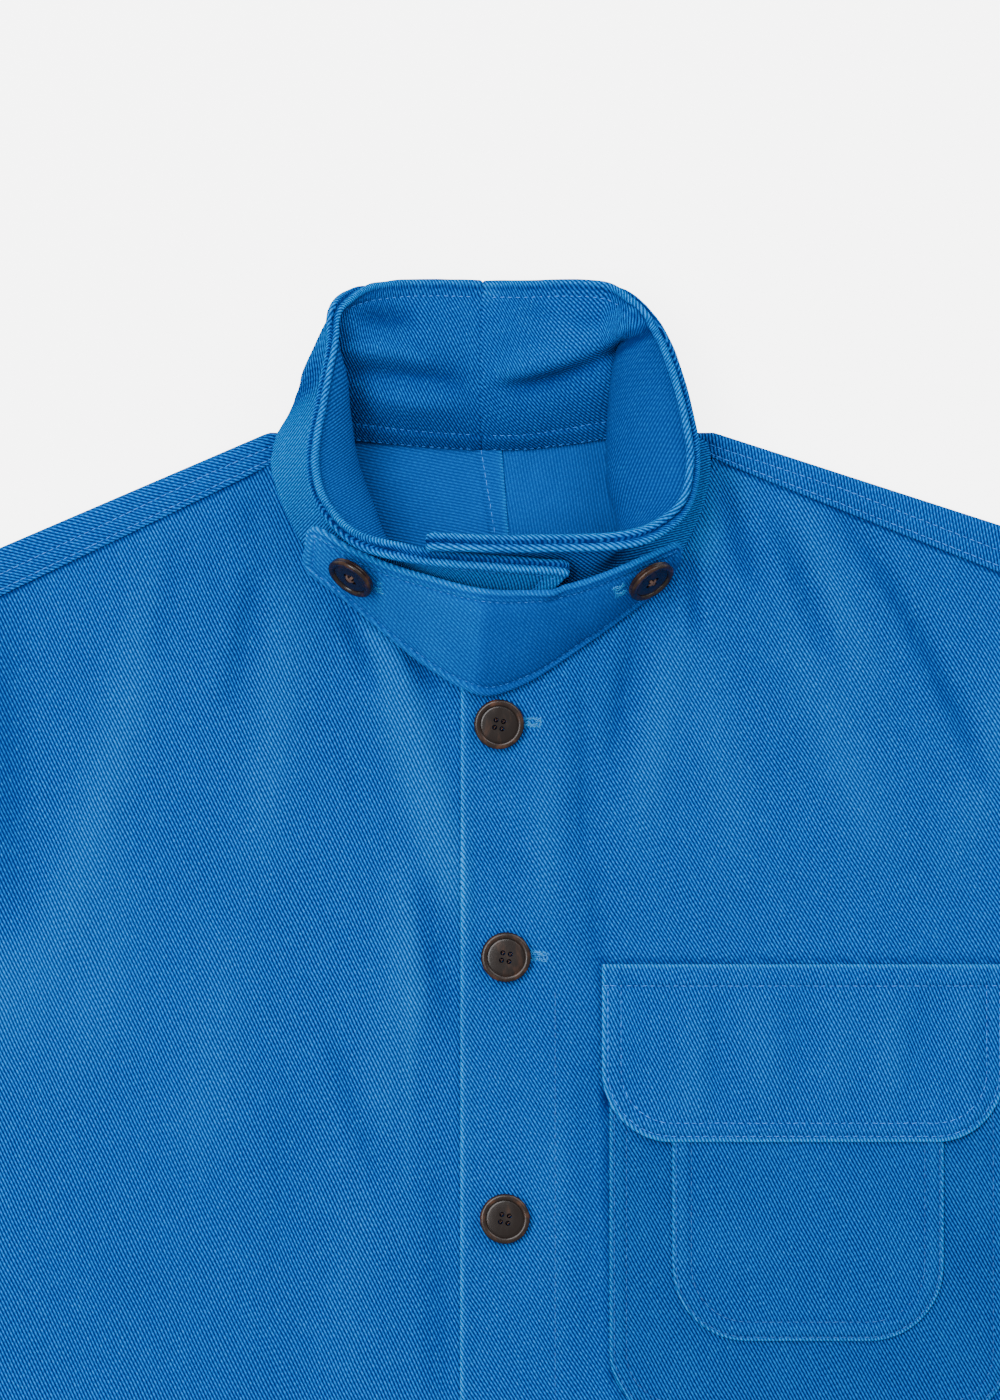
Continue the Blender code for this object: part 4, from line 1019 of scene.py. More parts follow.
def back_sheet(side, starts):
    """A back's flat sheet from its neck and shoulder to the hem, and the line of its centre edge."""
    sign = side.sign
    length = starts[-1, 1] - HEM_Y
    hem = length - np.array([5.0, 2.4, 1.4, 0.7, 0.3, 0.1, 0.0])
    share = np.concatenate([np.arange(0, 92, 2.4), np.linspace(96, length - 8, 44), hem])[:, None] / length
    hem_xs = starts[:, 0] * HEM_HALF_WIDTH / SHOULDER_X
    hem_xs[-1] = sign * HEM_HALF_WIDTH
    x, y = panel_grid(side, starts, hem_xs, share)
    centre = seam_line(BACK_EDGE if sign < 0 else BACK_ROW, y[:, :1]) - (BACK_SEAM_GAP if sign > 0 else 0.0)
    pull = np.clip(1 - np.arange(len(starts)) / 16.0, 0, 1) ** 1.5
    x = x + pull * (centre - x[:, :1])
    level = np.full_like(x, BACK_LEVEL)
    if sign < 0:
        near = len(CENTRE_STEPS)
        x[:, :near] = centre - np.array(CENTRE_STEPS)
        first, last = x[:, near - 1:near], x[:, CENTRE_COLUMNS:CENTRE_COLUMNS + 1]
        between = np.linspace(0, 1, CENTRE_COLUMNS - near + 2)[1:-1]
        x[:, near:CENTRE_COLUMNS] = first + (last - first) * between
        level = level + 1.25 * smooth_step((x - seam_line(BACK_ROW, y) + 2.6) / 2.2)
    inner = smooth_step((np.minimum(100 - y, 60 - np.abs(x))) / 10) * (y > -20)
    level = level + inner * np.maximum(0.9 * soft_noise(x, y, 40, 21) - 0.1, 0)
    if sign > 0:
        level = level + 0.9 * bump(np.hypot(x - 8.0, (y - 97.5) * 0.55), 2.2)
    return np.stack([x, y, level], axis=-1), centre


def build_back(name, side, table, level, finish):
    """Flat back that rolls over the shoulder and laps on the front, and its rows of stitches."""
    sign = side.sign
    neck = neck_seam_point(table, np.linspace(0.0, 4.9, 34), 0.0) + np.array([0.0, 0.5])
    xs = side.neck_x - 10.0 + (SHOULDER_X - side.neck_x + 9.6) * np.linspace(0, 1, 68)
    lap_y = shoulder_seam_y(side, xs) + 0.6 * np.exp(-np.maximum(xs - side.neck_x, 0) / 5.0)
    signed = sign * xs
    hold_y = lap_y + 5.0
    dive = 3.4 * smooth_step((side.neck_x + 1.0 - xs) / 5.0)
    top = level(signed, hold_y) + LAP_HEIGHT - dive
    radius = (top - BACK_LEVEL) / 2
    turn_y = outline_y(side, xs) - radius - CLOTH / 2
    flat, centre = back_sheet(side, np.vstack([neck, np.column_stack([signed, turn_y])]))

    steps = np.array(STRIP_STEPS)
    narrowing = np.clip((turn_y - lap_y - 0.8) / steps[-1], 0.15, 1)
    last_y = lap_y + steps[-1] * narrowing
    strip_ys = [lap_y + d * narrowing for d in steps]
    strip_ys += [last_y + (turn_y - last_y) * share for share in np.linspace(0, 1, 7)[1:]]
    strip_y = np.array(strip_ys)
    strip_z = level(np.broadcast_to(signed, strip_y.shape), np.minimum(strip_y, hold_y)) + LAP_HEIGHT - dive
    blend = smooth_step((strip_y - hold_y) / np.maximum(turn_y - hold_y, 1.0))
    strip_z = strip_z * (1 - blend) + top * blend
    turns = np.radians(ROLL_TURNS)[:, None]
    upper_y = np.concatenate([strip_y, turn_y + radius * np.sin(turns)])
    upper_z = np.concatenate([strip_z, BACK_LEVEL + radius * (1 + np.cos(turns))])
    upper = np.stack([np.broadcast_to(signed, upper_y.shape), upper_y, upper_z], axis=-1)
    roll_rows, width = upper_y.shape

    roll_normal = grid_normals(np.concatenate([upper, flat[:, len(neck):]]))
    if roll_normal[0, :, 2].mean() < 0:
        roll_normal = -roll_normal
    normals = np.concatenate([roll_normal[:roll_rows].reshape(-1, 3), -upper_normals(flat).reshape(-1, 3)])
    mids = np.concatenate([upper.reshape(-1, 3), flat.reshape(-1, 3)])
    d = np.concatenate([steps, np.linspace(11, 40, roll_rows - len(steps))])[:, None]
    d = np.broadcast_to(d, upper_y.shape)
    half = CLOTH / 2 * round_edge(d, 0.8)
    pucker = 0.28 * soft_noise(upper[..., 0], upper_y * 0.3, 6.5, 31) * row_bumps(d, STRIP_ROWS, 2.4)
    ridge = half - 0.42 * row_bumps(d, STRIP_ROWS, 0.75) + pucker + 0.25 * bump(d - 5.6, 2.4)
    from_centre = flat[..., 0] - centre
    flat_half = CLOTH / 2 * (round_edge(np.abs(from_centre), 0.8) if sign < 0
                             else np.ones(from_centre.shape))
    out = np.concatenate([ridge.ravel(), flat_half.ravel()])[:, None]
    under = np.concatenate([half.ravel(), flat_half.ravel()])[:, None]

    index = np.arange(roll_rows * width).reshape(roll_rows, width)
    index = np.vstack([index, roll_rows * width + len(neck) + np.arange(width)])
    rolled = np.stack([index[:-1, :-1], index[:-1, 1:], index[1:, 1:], index[1:, :-1]], axis=-1)
    faces = np.concatenate([rolled.reshape(-1, 4), grid_quads(*flat.shape[:2], roll_rows * width)])
    rims = {}
    for face in faces.tolist():
        for edge in zip(face, face[1:] + face[:1]):
            if edge[::-1] in rims:
                del rims[edge[::-1]]
            else:
                rims[edge] = True

    uv = upper[..., :2].copy()
    uv[-len(ROLL_TURNS):, :, 1] = turn_y + radius * turns
    uv = np.concatenate([uv.reshape(-1, 2), flat[..., :2].reshape(-1, 2)])
    row = np.arange(roll_rows)[:, None]
    # Edge rubbed pale; the stitch grooves darker, partly painted shade, partly dye kept deep there.
    wear = 0.24 * bump(d, 1.0) - 0.3 * row_bumps(d, STRIP_ROWS, 0.6) - 0.02
    wear = wear + 0.1 * smooth_step((row - len(steps) - 3) / 5) * bump(row - roll_rows + 6, 4.0)
    flat_wear = 0.5 * bump(from_centre, 1.4) if sign < 0 else np.zeros(from_centre.shape)
    wear = np.concatenate([wear.ravel(), flat_wear.ravel()])
    nap = np.repeat([0.25, 0.85], [upper_y.size, from_centre.size])
    piece = shut_walls(name, mids + normals * out, mids - normals * under, faces, [np.array(list(rims)).T],
                       uv, wear, nap, finish)
    near = [nearest(steps, row) for row in STRIP_ROWS]
    paths = [(upper[k] + roll_normal[k] * (CLOTH / 2 - THREAD_SINK))[3:-1] for k in near]
    if sign < 0:
        ys = np.linspace(99.0, 5.0, 60)
        paths.append(draped(surface_tree(piece), np.column_stack([seam_line(BACK_ROW, ys), ys]), -0.05))
    return piece, paths


# Collar

NEAR_BASE = (0.0, 0.25, 0.6, 1.1, 1.8, 3.4, 5.2, 6.8, 7.7, 8.4, 9.1, 10.2, 11.8)
NEAR_RIM = (11.5, 10.0, 8.8, 7.8, 7.2, 6.7, 6.2, 5.6, 4.9, 4.3, 4.0, 3.78, 3.6, 3.3, 2.9, 2.5, 2.15)
COLLAR_ROW = 6.7
BAND_ROW = 8.4
FOOT_ROW = 1.1
LOBE = 1.85
LOBE_ANGLES = (0, 22, 44, 66, 88, 110, 132)
# Round each bead of the rim: worn pale on top, with painted shade on its underside and in the valley between
# the beads.
LOBE_WEAR_AND_PAINTED_SHADE = (0.35, 0.6, 0.9, 0.95, 0.6, 0.1, -0.7)
VALLEY_PAINTED_SHADE = -1.1
TIP_RADIUS = 4.5
CURL_REACH = 5.5
CENTRE_LAP = 0.55
CENTRE_RUN = (0.0, 0.05, 0.15, 0.35, 0.7, 1.2, 2.0)
END_STEPS = (0.0, 0.03, 0.1, 0.25, 0.5, 0.9, 1.4, 2.2, 3.2, 4.2, 5.0, 5.8, 6.6, 7.4, 8.6)


def collar_stations(table):
    """Stations along a collar half, close together at both ends."""
    even = np.linspace(0, len(table) - 1, 400)
    run = running_length(collar_point(table, even, np.full(400, 0.5)))
    length = run[-1]
    middle = np.linspace(3.4, length - 10.2, int((length - 13.6) / 1.7))
    wanted = np.concatenate([CENTRE_RUN, middle, length - np.array(END_STEPS)[::-1]])
    return np.interp(wanted, run, even), wanted, length


def rise_of(mid):
    """Unit direction up the wall at each of its points."""
    return unit(np.gradient(mid, axis=1))


def curled(mid, from_rim, turn):
    """Bends the wall's last millimetres below its rim upwards by an angle in each row."""
    rise = rise_of(mid)
    above = unit(UP - rise[..., 2:] * rise)
    turn = np.maximum(turn, 0.001)[:, None, None]
    share = np.clip((CURL_REACH - from_rim) / CURL_REACH, 0, 1)[..., None]
    ahead = CURL_REACH * (np.sin(turn * share) / turn - share)
    return mid + rise * ahead + above * (CURL_REACH * (1 - np.cos(turn * share)) / turn)


def collar_heights(table, stations, from_end):
    """Each section's distances up its wall, the same as shares of height, and the wall's height."""
    fine = np.linspace(0, 1, 81)
    grid_s, grid_h = np.meshgrid(stations, fine, indexing="ij")
    up = running_length(collar_point(table, grid_s, grid_h))
    drop = TIP_RADIUS - np.sqrt(np.maximum(TIP_RADIUS ** 2 - np.maximum(TIP_RADIUS - from_end, 0) ** 2, 0))
    tall = up[:, -1] - drop
    base, rim, middle = np.array(NEAR_BASE), np.array(NEAR_RIM), np.linspace(0, 1, 24)[1:-1]
    distances = []
    for height in tall:
        span = height - rim[0] - base[-1]
        distances.append(np.concatenate([base, base[-1] + span * middle, height - rim, [height - LOBE]]))
    distances = np.array(distances)
    heights = np.array([np.interp(d, u, fine) for d, u in zip(distances, up)])
    return distances, heights, tall, len(base) + len(middle) + nearest(rim, COLLAR_ROW)


def build_collar(name, table, finish, half_sign):
    """Padded collar half: inner side, twin-beaded rim and outer side, and its rows of stitches."""
    stations, run, length = collar_stations(table)
    from_end = length - run
    distances, heights, tall, edge_row = collar_heights(table, stations, from_end)
    mid = collar_point(table, np.broadcast_to(stations[:, None], heights.shape), heights)
    from_rim = tall[:, None] - distances
    steep = rise_of(mid)[:, -1, 2]
    turn = 0.8 * np.clip((0.62 - steep) / 0.4, 0, 1) * smooth_step((stations - 2.3) / 1.5)
    mid = curled(mid, from_rim, turn)
    normal = half_sign * grid_normals(mid)
    rise = rise_of(mid)

    end = from_end[:, None]
    near_edge = np.minimum(from_rim, end)
    behind = 1 - smooth_step((stations - 4.1) / 1.0)[:, None]
    near_tip = 1 - smooth_step((end - 16) / 14)
    padded = np.maximum(behind, near_tip)
    swell = 1.15 * smooth_step((COLLAR_ROW + 0.6 - near_edge) / 4.2)
    slimmer = 0.28 * bump(stations - 4.8, 1.8) * (half_sign < 0)
    lobe = LOBE * (1 - slimmer)[:, None]
    over_bead = np.clip((from_rim - LOBE) / lobe, 0, 1)
    bead = np.where(over_bead < 1, lobe + lobe * np.sqrt(1 - over_bead ** 2), 0)
    row_dent = 0.5 * padded * bump(near_edge - COLLAR_ROW, 0.95)
    thick = np.maximum(1.15 + swell * padded, bead)
    arc = np.broadcast_to(run[:, None], heights.shape)
    pucker = 0.32 * soft_noise(arc, distances * 0.35, 7.5, 41 + half_sign)
    pucker = pucker * bump(near_edge - COLLAR_ROW - 0.4, 3.2) * padded
    small = 0.18 * soft_noise(arc, distances * 0.6, 11.0, 45 + half_sign)
    pucker = pucker + small * bump(near_edge - 3, 3.5)
    broad = 0.5 * soft_noise(arc, distances, 34.0, 48 + half_sign) * smooth_step(distances / 14)
    fit = round_edge(end, 1.6) * round_edge(arc, 1.1)
    foot = round_edge(distances, 1.2)
    band = 0.65 * smooth_step((BAND_ROW + 0.7 - distances) / 1.4) - 0.45 * bump(distances - BAND_ROW, 0.7)
    inner = (thick - row_dent + pucker + band) * fit * foot
    outer = (thick - row_dent * 0.8 + 0.6 * pucker + 0.35 * smooth_step((4 - distances) / 2)) * fit * foot
    mid = mid + normal * (broad * fit * foot)[..., None]
    mid[..., 0] -= half_sign * CENTRE_LAP * np.exp(-arc / 1.2)
    inside = mid - normal * inner[..., None]
    outside = mid + normal * outer[..., None]

    wobble = (0.22 * soft_noise(run, run * 0, 9.0, 51 + half_sign))[:, None]
    turns = np.radians(LOBE_ANGLES)
    cap = []
    for way, width, tip, angles in ((-1, inner[:, -1:], lobe + wobble, turns),
                                    (1, outer[:, -1:], lobe - wobble, turns[::-1])):
        for angle in angles:
            aside = way * normal[:, -1] * (width / 2 * (1 + math.cos(angle)))
            cap.append(mid[:, -1] + aside + rise[:, -1] * (tip * math.sin(angle) * fit[:, :1]))
    cap = np.array(cap).transpose(1, 0, 2)
    lobes = len(LOBE_ANGLES)
    valley = (mid[:, -1] - rise[:, -1] * 0.6)[:, None]
    ring = np.concatenate([inside[:, :-1], cap[:, :lobes], valley, cap[:, lobes:], outside[:, -2::-1]],
                          axis=1)
    sides = inside.shape[1] - 1
    over = distances[:, -1:] + turns * LOBE
    up_line = np.concatenate([distances[:, :-1], over, over[:, -1:] + 0.5, over[:, ::-1],
                              distances[:, -2::-1]], axis=1)
    rows, columns = ring.shape[:2]
    quads = grid_quads(rows, columns, closed=True)
    flip = np.where(np.tile(np.arange(columns), rows - 1) < sides + lobes, 1.0, -1.0) * half_sign
    corner_rows, corner_columns = quads // columns, quads % columns
    corner_uv = np.stack([run[corner_rows] * flip[:, None], up_line[corner_rows, corner_columns]], axis=-1)

    crease = fold_height(mid[..., 0], mid[..., 1], COLLAR_FOLDS) * (stations < 5.2)[:, None]
    from_row = near_edge - COLLAR_ROW
    wear = padded * (0.16 * bump(near_edge - 2.2, 3.4) + 0.10 * bump(from_row, 1.2))
    wear = wear + 0.4 * bump(from_rim - LOBE, 1.2) + 0.6 * bump(end, 1.8) + 0.12 * np.clip(crease, 0, 1)
    # A painted shade line just below the rim's bead, and the stitch row's groove darker, partly painted
    # shade, partly dye kept deep there.
    wear = wear - 0.6 * bump(from_rim - 2 * LOBE - 0.2, 0.6) - 0.35 * padded * bump(from_row, 0.6)
    if half_sign > 0:
        wear = wear + 0.5 * bump(arc - 2, 5.0) * bump(from_rim - 4, 4.0)
    # Painted shade over the inner side of the collar's back, deeper on its lower part and in the troughs of
    # its creases.
    lower = (0.26 if half_sign < 0 else 0.14) * smooth_step((34 - distances) / 22)
    # The band's lower edge pale and its stitch groove darker, partly painted shade, partly dye kept deep
    # there.
    inner_wear_and_painted_shade = wear + 0.12 * bump(distances - BAND_ROW - 1, 1.2) - 0.4 * bump(distances - BAND_ROW, 0.6)
    inner_wear_and_painted_shade = inner_wear_and_painted_shade - behind * (0.04 + lower) + 0.19 * np.clip(crease, -3.5, 0)
    if half_sign < 0:
        # Painted light on this half's outer wall, at its side and towards its tip where the rim's overhang
        # shades it.
        lit = 0.8 * bump(stations - 5.9, 2.0) + 0.5 * smooth_step((stations - 8.4) / 1.4)
        wear = wear + lit[:, None] * smooth_step(from_rim / 6)
        # A painted shadow streak in a crease at the back.
        wear = wear - 0.9 * bump(stations - 4.4, 0.22)[:, None] * bump(heights - 0.45, 0.25)
    else:
        # Painted shade on this half's inner wall, away from its rim.
        inner_wear_and_painted_shade = inner_wear_and_painted_shade - 0.26 * (1 - behind) * smooth_step(from_rim / 5)
        # Painted light on this half's outer wall at its side, where the collar shades it.
        wear = wear + 0.5 * (bump(stations - 7.4, 2.2)[:, None] * smooth_step(from_rim / 6))
    uneven = (0.8 + 0.5 * soft_noise(run, run * 0, 14.0, 61 + half_sign))[:, None]
    cap_wear_and_painted_shade = np.array([*LOBE_WEAR_AND_PAINTED_SHADE, VALLEY_PAINTED_SHADE, *LOBE_WEAR_AND_PAINTED_SHADE[::-1]]) * uneven
    ring_wear_and_painted_light = np.concatenate([inner_wear_and_painted_shade[:, :-1], cap_wear_and_painted_shade, wear[:, -2::-1]], axis=1)
    nap = np.zeros((rows, columns))
    nap[:, :sides] = 0.25 + 0.4 * (1 - behind) * smooth_step(from_rim[:, :-1] / 5)
    piece = cloth_piece(name, ring.reshape(-1, 3), quads, corner_uv, ring_wear_and_painted_light, nap, finish)

    seen_in, seen_out = inside + normal * THREAD_DEPTH, outside - normal * THREAD_DEPTH
    end_at = len(stations) - 9
    keep = slice(8, end_at)
    near_back = slice(8, int(np.searchsorted(stations, 3.4 if half_sign > 0 else 4.6)))
    by_tip = slice(int(np.searchsorted(stations, stations[-1] - 1.6)), end_at)
    band_row = nearest(NEAR_BASE, BAND_ROW)
    last = len(stations) - 1 - nearest(END_STEPS, COLLAR_ROW)
    up_end = slice(band_row + 2, edge_row)
    return piece, [seen_in[near_back, edge_row], seen_out[keep, edge_row], seen_in[by_tip, edge_row],
                   seen_in[keep, band_row], seen_in[keep, nearest(NEAR_BASE, FOOT_ROW)],
                   seen_in[last, up_end], seen_out[last, up_end]]


# Throat tab

TAB_STEPS = (0.0, 0.06, 0.2, 0.45, 0.9, 1.5, 2.3, 3.2, 4.2, 4.9, 5.4, 5.9, 6.6, 8.0)
TAB_ROW = 5.4
TAB_GROOVE = 2.8
TAB_CLEARANCE = 1.75
TAB_CREASE = 1.9


def build_tab(name, finish, carriers):
    """Pointed tab laid over the collar's front, with rounded padded edges, and its rows of stitches."""
    steps = np.array(TAB_STEPS)
    even = np.linspace(0, len(TAB_SECTIONS) - 1, 300)
    run = running_length(tab_point(even, np.full(300, 0.5)))
    span = np.linspace(9.8, run[-1] - 9.8, int((run[-1] - 19.6) / 1.6))
    wanted = np.concatenate([steps, span, run[-1] - steps[::-1]])
    stations = np.interp(wanted, run, even)
    fine = np.linspace(0, 1, 41)
    down = running_length(tab_point(stations[:, None], np.broadcast_to(fine, (len(stations), 41))))
    drops, from_edge = [], []
    for height, cut in zip(down[:, -1], down):
        close = steps * min(1.0, height / 34.0)
        inner = np.linspace(close[-1], height - close[-1], 20)[1:-1]
        distance = np.concatenate([close, inner, height - close[::-1]])
        drops.append(np.interp(distance, cut, fine))
        from_edge.append(np.minimum(distance, height - distance))
    drops, from_edge = np.array(drops), np.array(from_edge)
    mid = tab_point(np.broadcast_to(stations[:, None], drops.shape), drops)
    mid = lay_over(mid, surface_tree(*carriers), TAB_CLEARANCE, smooth_step((drops - 0.35) / 0.4))
    point_run = np.interp(TAB_POINT_STATION - 0.5, stations, wanted)
    crease = np.exp(-np.abs(wanted - point_run) / 15.0)[:, None] * smooth_step(drops / 0.25)
    mid[..., 2] += TAB_CREASE * crease
    for _ in range(2):
        mid[1:-1, 1:-1] = neighbour_mean(mid)[1:-1, 1:-1]
    from_end = np.minimum(wanted, run[-1] - wanted)[:, None]
    near = np.minimum(from_edge, from_end)
    arc = np.broadcast_to(wanted[:, None], near.shape)
    swell = 0.55 * smooth_step((TAB_ROW + 0.6 - near) / 3.0)
    pucker = 0.24 * soft_noise(arc, drops * 9, 8.0, 71) * bump(near - TAB_ROW, 3.0)
    half = 1.0 * round_edge(near, 1.6)
    relief = (swell - 0.45 * bump(near - TAB_ROW, 0.9) + pucker) * round_edge(near, 2.4)
    relief = relief + 0.35 * soft_noise(arc, drops * 34, 30.0, 73) * smooth_step(near / 6)
    low_side = smooth_step((drops - 0.5) / 0.4)
    high_side = 1 - smooth_step((drops - 0.15) / 0.25)
    relief = relief - 0.5 * high_side * bump(near - TAB_GROOVE, 0.7)
    # Edges rubbed pale; the stitch groove and the groove between the upper beads darker, partly painted
    # shade, partly dye kept deep there.
    wear = 0.3 * bump(near, 0.9) + 0.06 * bump(near - 2.5, 2.6) - 0.35 * bump(near - TAB_ROW, 0.6)
    beads = 0.4 * bump(near - 1.3, 0.9) + 0.3 * bump(near - 4.1, 0.9) - 0.7 * bump(near - TAB_GROOVE, 0.55)
    wear = wear + high_side * beads + 0.3 * bump(from_end, 9.0) * (stations < 7)[:, None]
    # Painted light on the tab's left half and painted shade on its right half, as the light falls across its
    # point.
    painted_tab_light = 0.16 - 0.36 * smooth_step((stations - 6.3) / 0.5) + 0.18 * smooth_step((stations - 9) / 1.5)
    low_edge = 0.05 + 0.25 * smooth_step((7.5 - stations) / 3.0)
    wear = wear + painted_tab_light[:, None] + low_side * bump(near, 1.0) * low_edge[:, None]
    wear = wear + 0.09 * soft_noise(arc, drops * 34, 17.0, 74)
    piece = cloth_shell(name, mid, half, relief, wear, 0.8, finish)
    surface = mid + upper_normals(mid) * (half + relief - THREAD_SINK)[..., None]
    row = nearest(steps, TAB_ROW)
    far = len(stations) - 1 - row
    return piece, [surface[row:far + 1, row], surface[row:far + 1, -1 - row],
                   surface[row, row:-row], surface[far, row:-row]]


# Pockets

POCKET_STEPS = (0.0, 0.1, 0.35, 0.7, 1.2, 1.7, 2.3, 3.0, 4.5, 6.0, 6.8, 7.6, 8.4, 10.0)
CORNER_STEPS = POCKET_STEPS + (12.0, 15.0, 18.0, 21.0, 24.0)
TOP_STEPS = (0.0, 0.15, 0.5, 1.0, 2.0, 4.0, 6.0, 7.4, 8.1, 8.6, 9.1, 10.0, 12.0)
POCKET_GRID = 2.4


def pocket_edges(pocket, x, y):
    """Distance inside a pocket's side and lower outline."""
    across = np.abs(x - (pocket.x0 + pocket.x1) / 2) - ((pocket.x1 - pocket.x0) / 2 - pocket.corner)
    down = (pocket.low_y + pocket.corner) - y
    outside = np.hypot(np.maximum(across, 0), np.maximum(down, 0))
    inside = np.minimum(np.maximum(across, down), 0)
    return pocket.corner - outside - inside


def pocket_grid(pocket):
    """Plan grid of a pocket piece with round lower corners."""
    width = pocket.x1 - pocket.x0
    last = POCKET_STEPS[-1]
    cells = int(round((width - 2 * last) / POCKET_GRID)) + 1
    near = np.array(POCKET_STEPS[:-1])
    across = np.concatenate([near, np.linspace(last, width - last, cells), width - near[::-1]]) / width
    straight = pocket.top_y - pocket.low_y - pocket.corner
    drops = np.concatenate([TOP_STEPS, np.linspace(14, straight, int((straight - 14) / POCKET_GRID))])
    turns = np.arcsin(np.clip(1 - np.array(CORNER_STEPS)[::-1] / pocket.corner, 0, 1))
    turns = turns[turns > 0.02]
    drop = np.concatenate([drops, straight + pocket.corner * np.sin(turns)])
    inset = np.concatenate([np.zeros(len(drops)), pocket.corner * (1 - np.cos(turns))])
    x = pocket.x0 + inset[:, None] + (width - 2 * inset[:, None]) * across
    y = np.broadcast_to((pocket.top_y - drop)[:, None], x.shape)
    return x, y


def pocket_row(pocket, inset, start):
    """Plan path parallel to a pocket's sides and round lower corners."""
    x0, x1 = pocket.x0 + inset, pocket.x1 - inset
    low = pocket.low_y + inset
    radius = pocket.corner - inset
    top = pocket.top_y - start
    turns = np.linspace(0, math.pi / 2, 16)
    left = plan_line(x0, top, x0, low + radius)
    first = np.column_stack([x0 + radius - radius * np.cos(turns), low + radius - radius * np.sin(turns)])
    bottom = plan_line(x0 + radius, low, x1 - radius, low)
    second = np.column_stack([x1 - radius + radius * np.sin(turns), low + radius - radius * np.cos(turns)])
    right = plan_line(x1, low + radius, x1, top)
    return np.concatenate([left, first[1:], bottom[1:], second[1:], right[1:]])


def build_pocket(name, finish, rows, band, seed):
    """Pocket, patch or banded flap, and its stitches: rows are their distances from the outline."""
    pocket = POCKETS[name]
    x, y = pocket_grid(pocket)
    edge = pocket_edges(pocket, x, y)
    from_top = pocket.top_y - y
    near = np.minimum(edge, from_top)
    ripple = soft_noise(x, y, 7.0, seed) * row_bumps(edge, rows, 2.4)
    relief = 0.8 * bump(edge - (rows[0] + rows[-1]) / 2, 3.0) + 0.22 * ripple
    relief = relief - 0.55 * row_bumps(edge, rows, 0.75) * smooth_step(from_top / 3)
    relief = relief + 0.25 * soft_noise(x, y, 34, seed + 3) * smooth_step(edge / 14)
    wear = (1.15 if band else 0.85) * bump(edge - 0.3, 1.0) + 0.12 * bump(edge - 3.5, 2.4)
    # The stitch grooves darker, partly painted shade, partly dye kept deep there.
    wear = wear - 0.35 * row_bumps(edge, rows, 0.6) + 0.07 * soft_noise(x, y, 44, seed + 7)
    if band:
        on_band = smooth_step((band + 0.8 - from_top) / 1.6)
        relief = relief * (1 - on_band) + 0.55 * on_band * round_edge(from_top, 1.2)
        relief = relief - 0.5 * bump(from_top - band, 0.75)
        relief = relief + 0.2 * soft_noise(x, y * 0.3, 7.5, seed + 5) * bump(from_top - band - 0.6, 2.2)
        # Fold ridges paler and troughs darker, partly real fading, partly painted light and shade on the
        # flap's folds.
        wear = wear + 0.07 * fold_height(x, y, FLAP_FOLDS) * smooth_step(edge / 9)
        # The band's top rubbed pale, and its seam groove darker, partly painted shade, partly dye kept deep
        # there.
        wear = wear + 1.0 * bump(from_top - 0.3, 1.0) - 0.3 * bump(from_top - band, 0.6)
    piece = cloth_shell(name, np.stack([x, y, pocket_level(name, x, y)], axis=-1),
                        CLOTH / 2 * round_edge(near, 0.8), relief * round_edge(near, 1.2), wear, 0.1, finish)
    paths = [pocket_row(pocket, row, band or rows[-1] - 1) for row in rows]
    if band:
        seam_y = pocket.top_y - band
        paths.append(plan_line(pocket.x0 + 1.5, seam_y, pocket.x1 - 1.5, seam_y))
    tree = surface_tree(piece)
    return piece, [draped(tree, path, -0.06) for path in paths]


# Sleeves

CUFF_ROW = 22.0
CUFF_STEPS = (60.0, 24.5, 23.4, 22.7, 22.0, 21.3, 20.4, 18.0, 12.0, 6.0, 3.0, 1.2, 0.5, 0.15, 0.0)
SLEEVE_TURNS = (22, 45, 67, 90, 113, 135, 158)
SLEEVE_NAP = 0.15


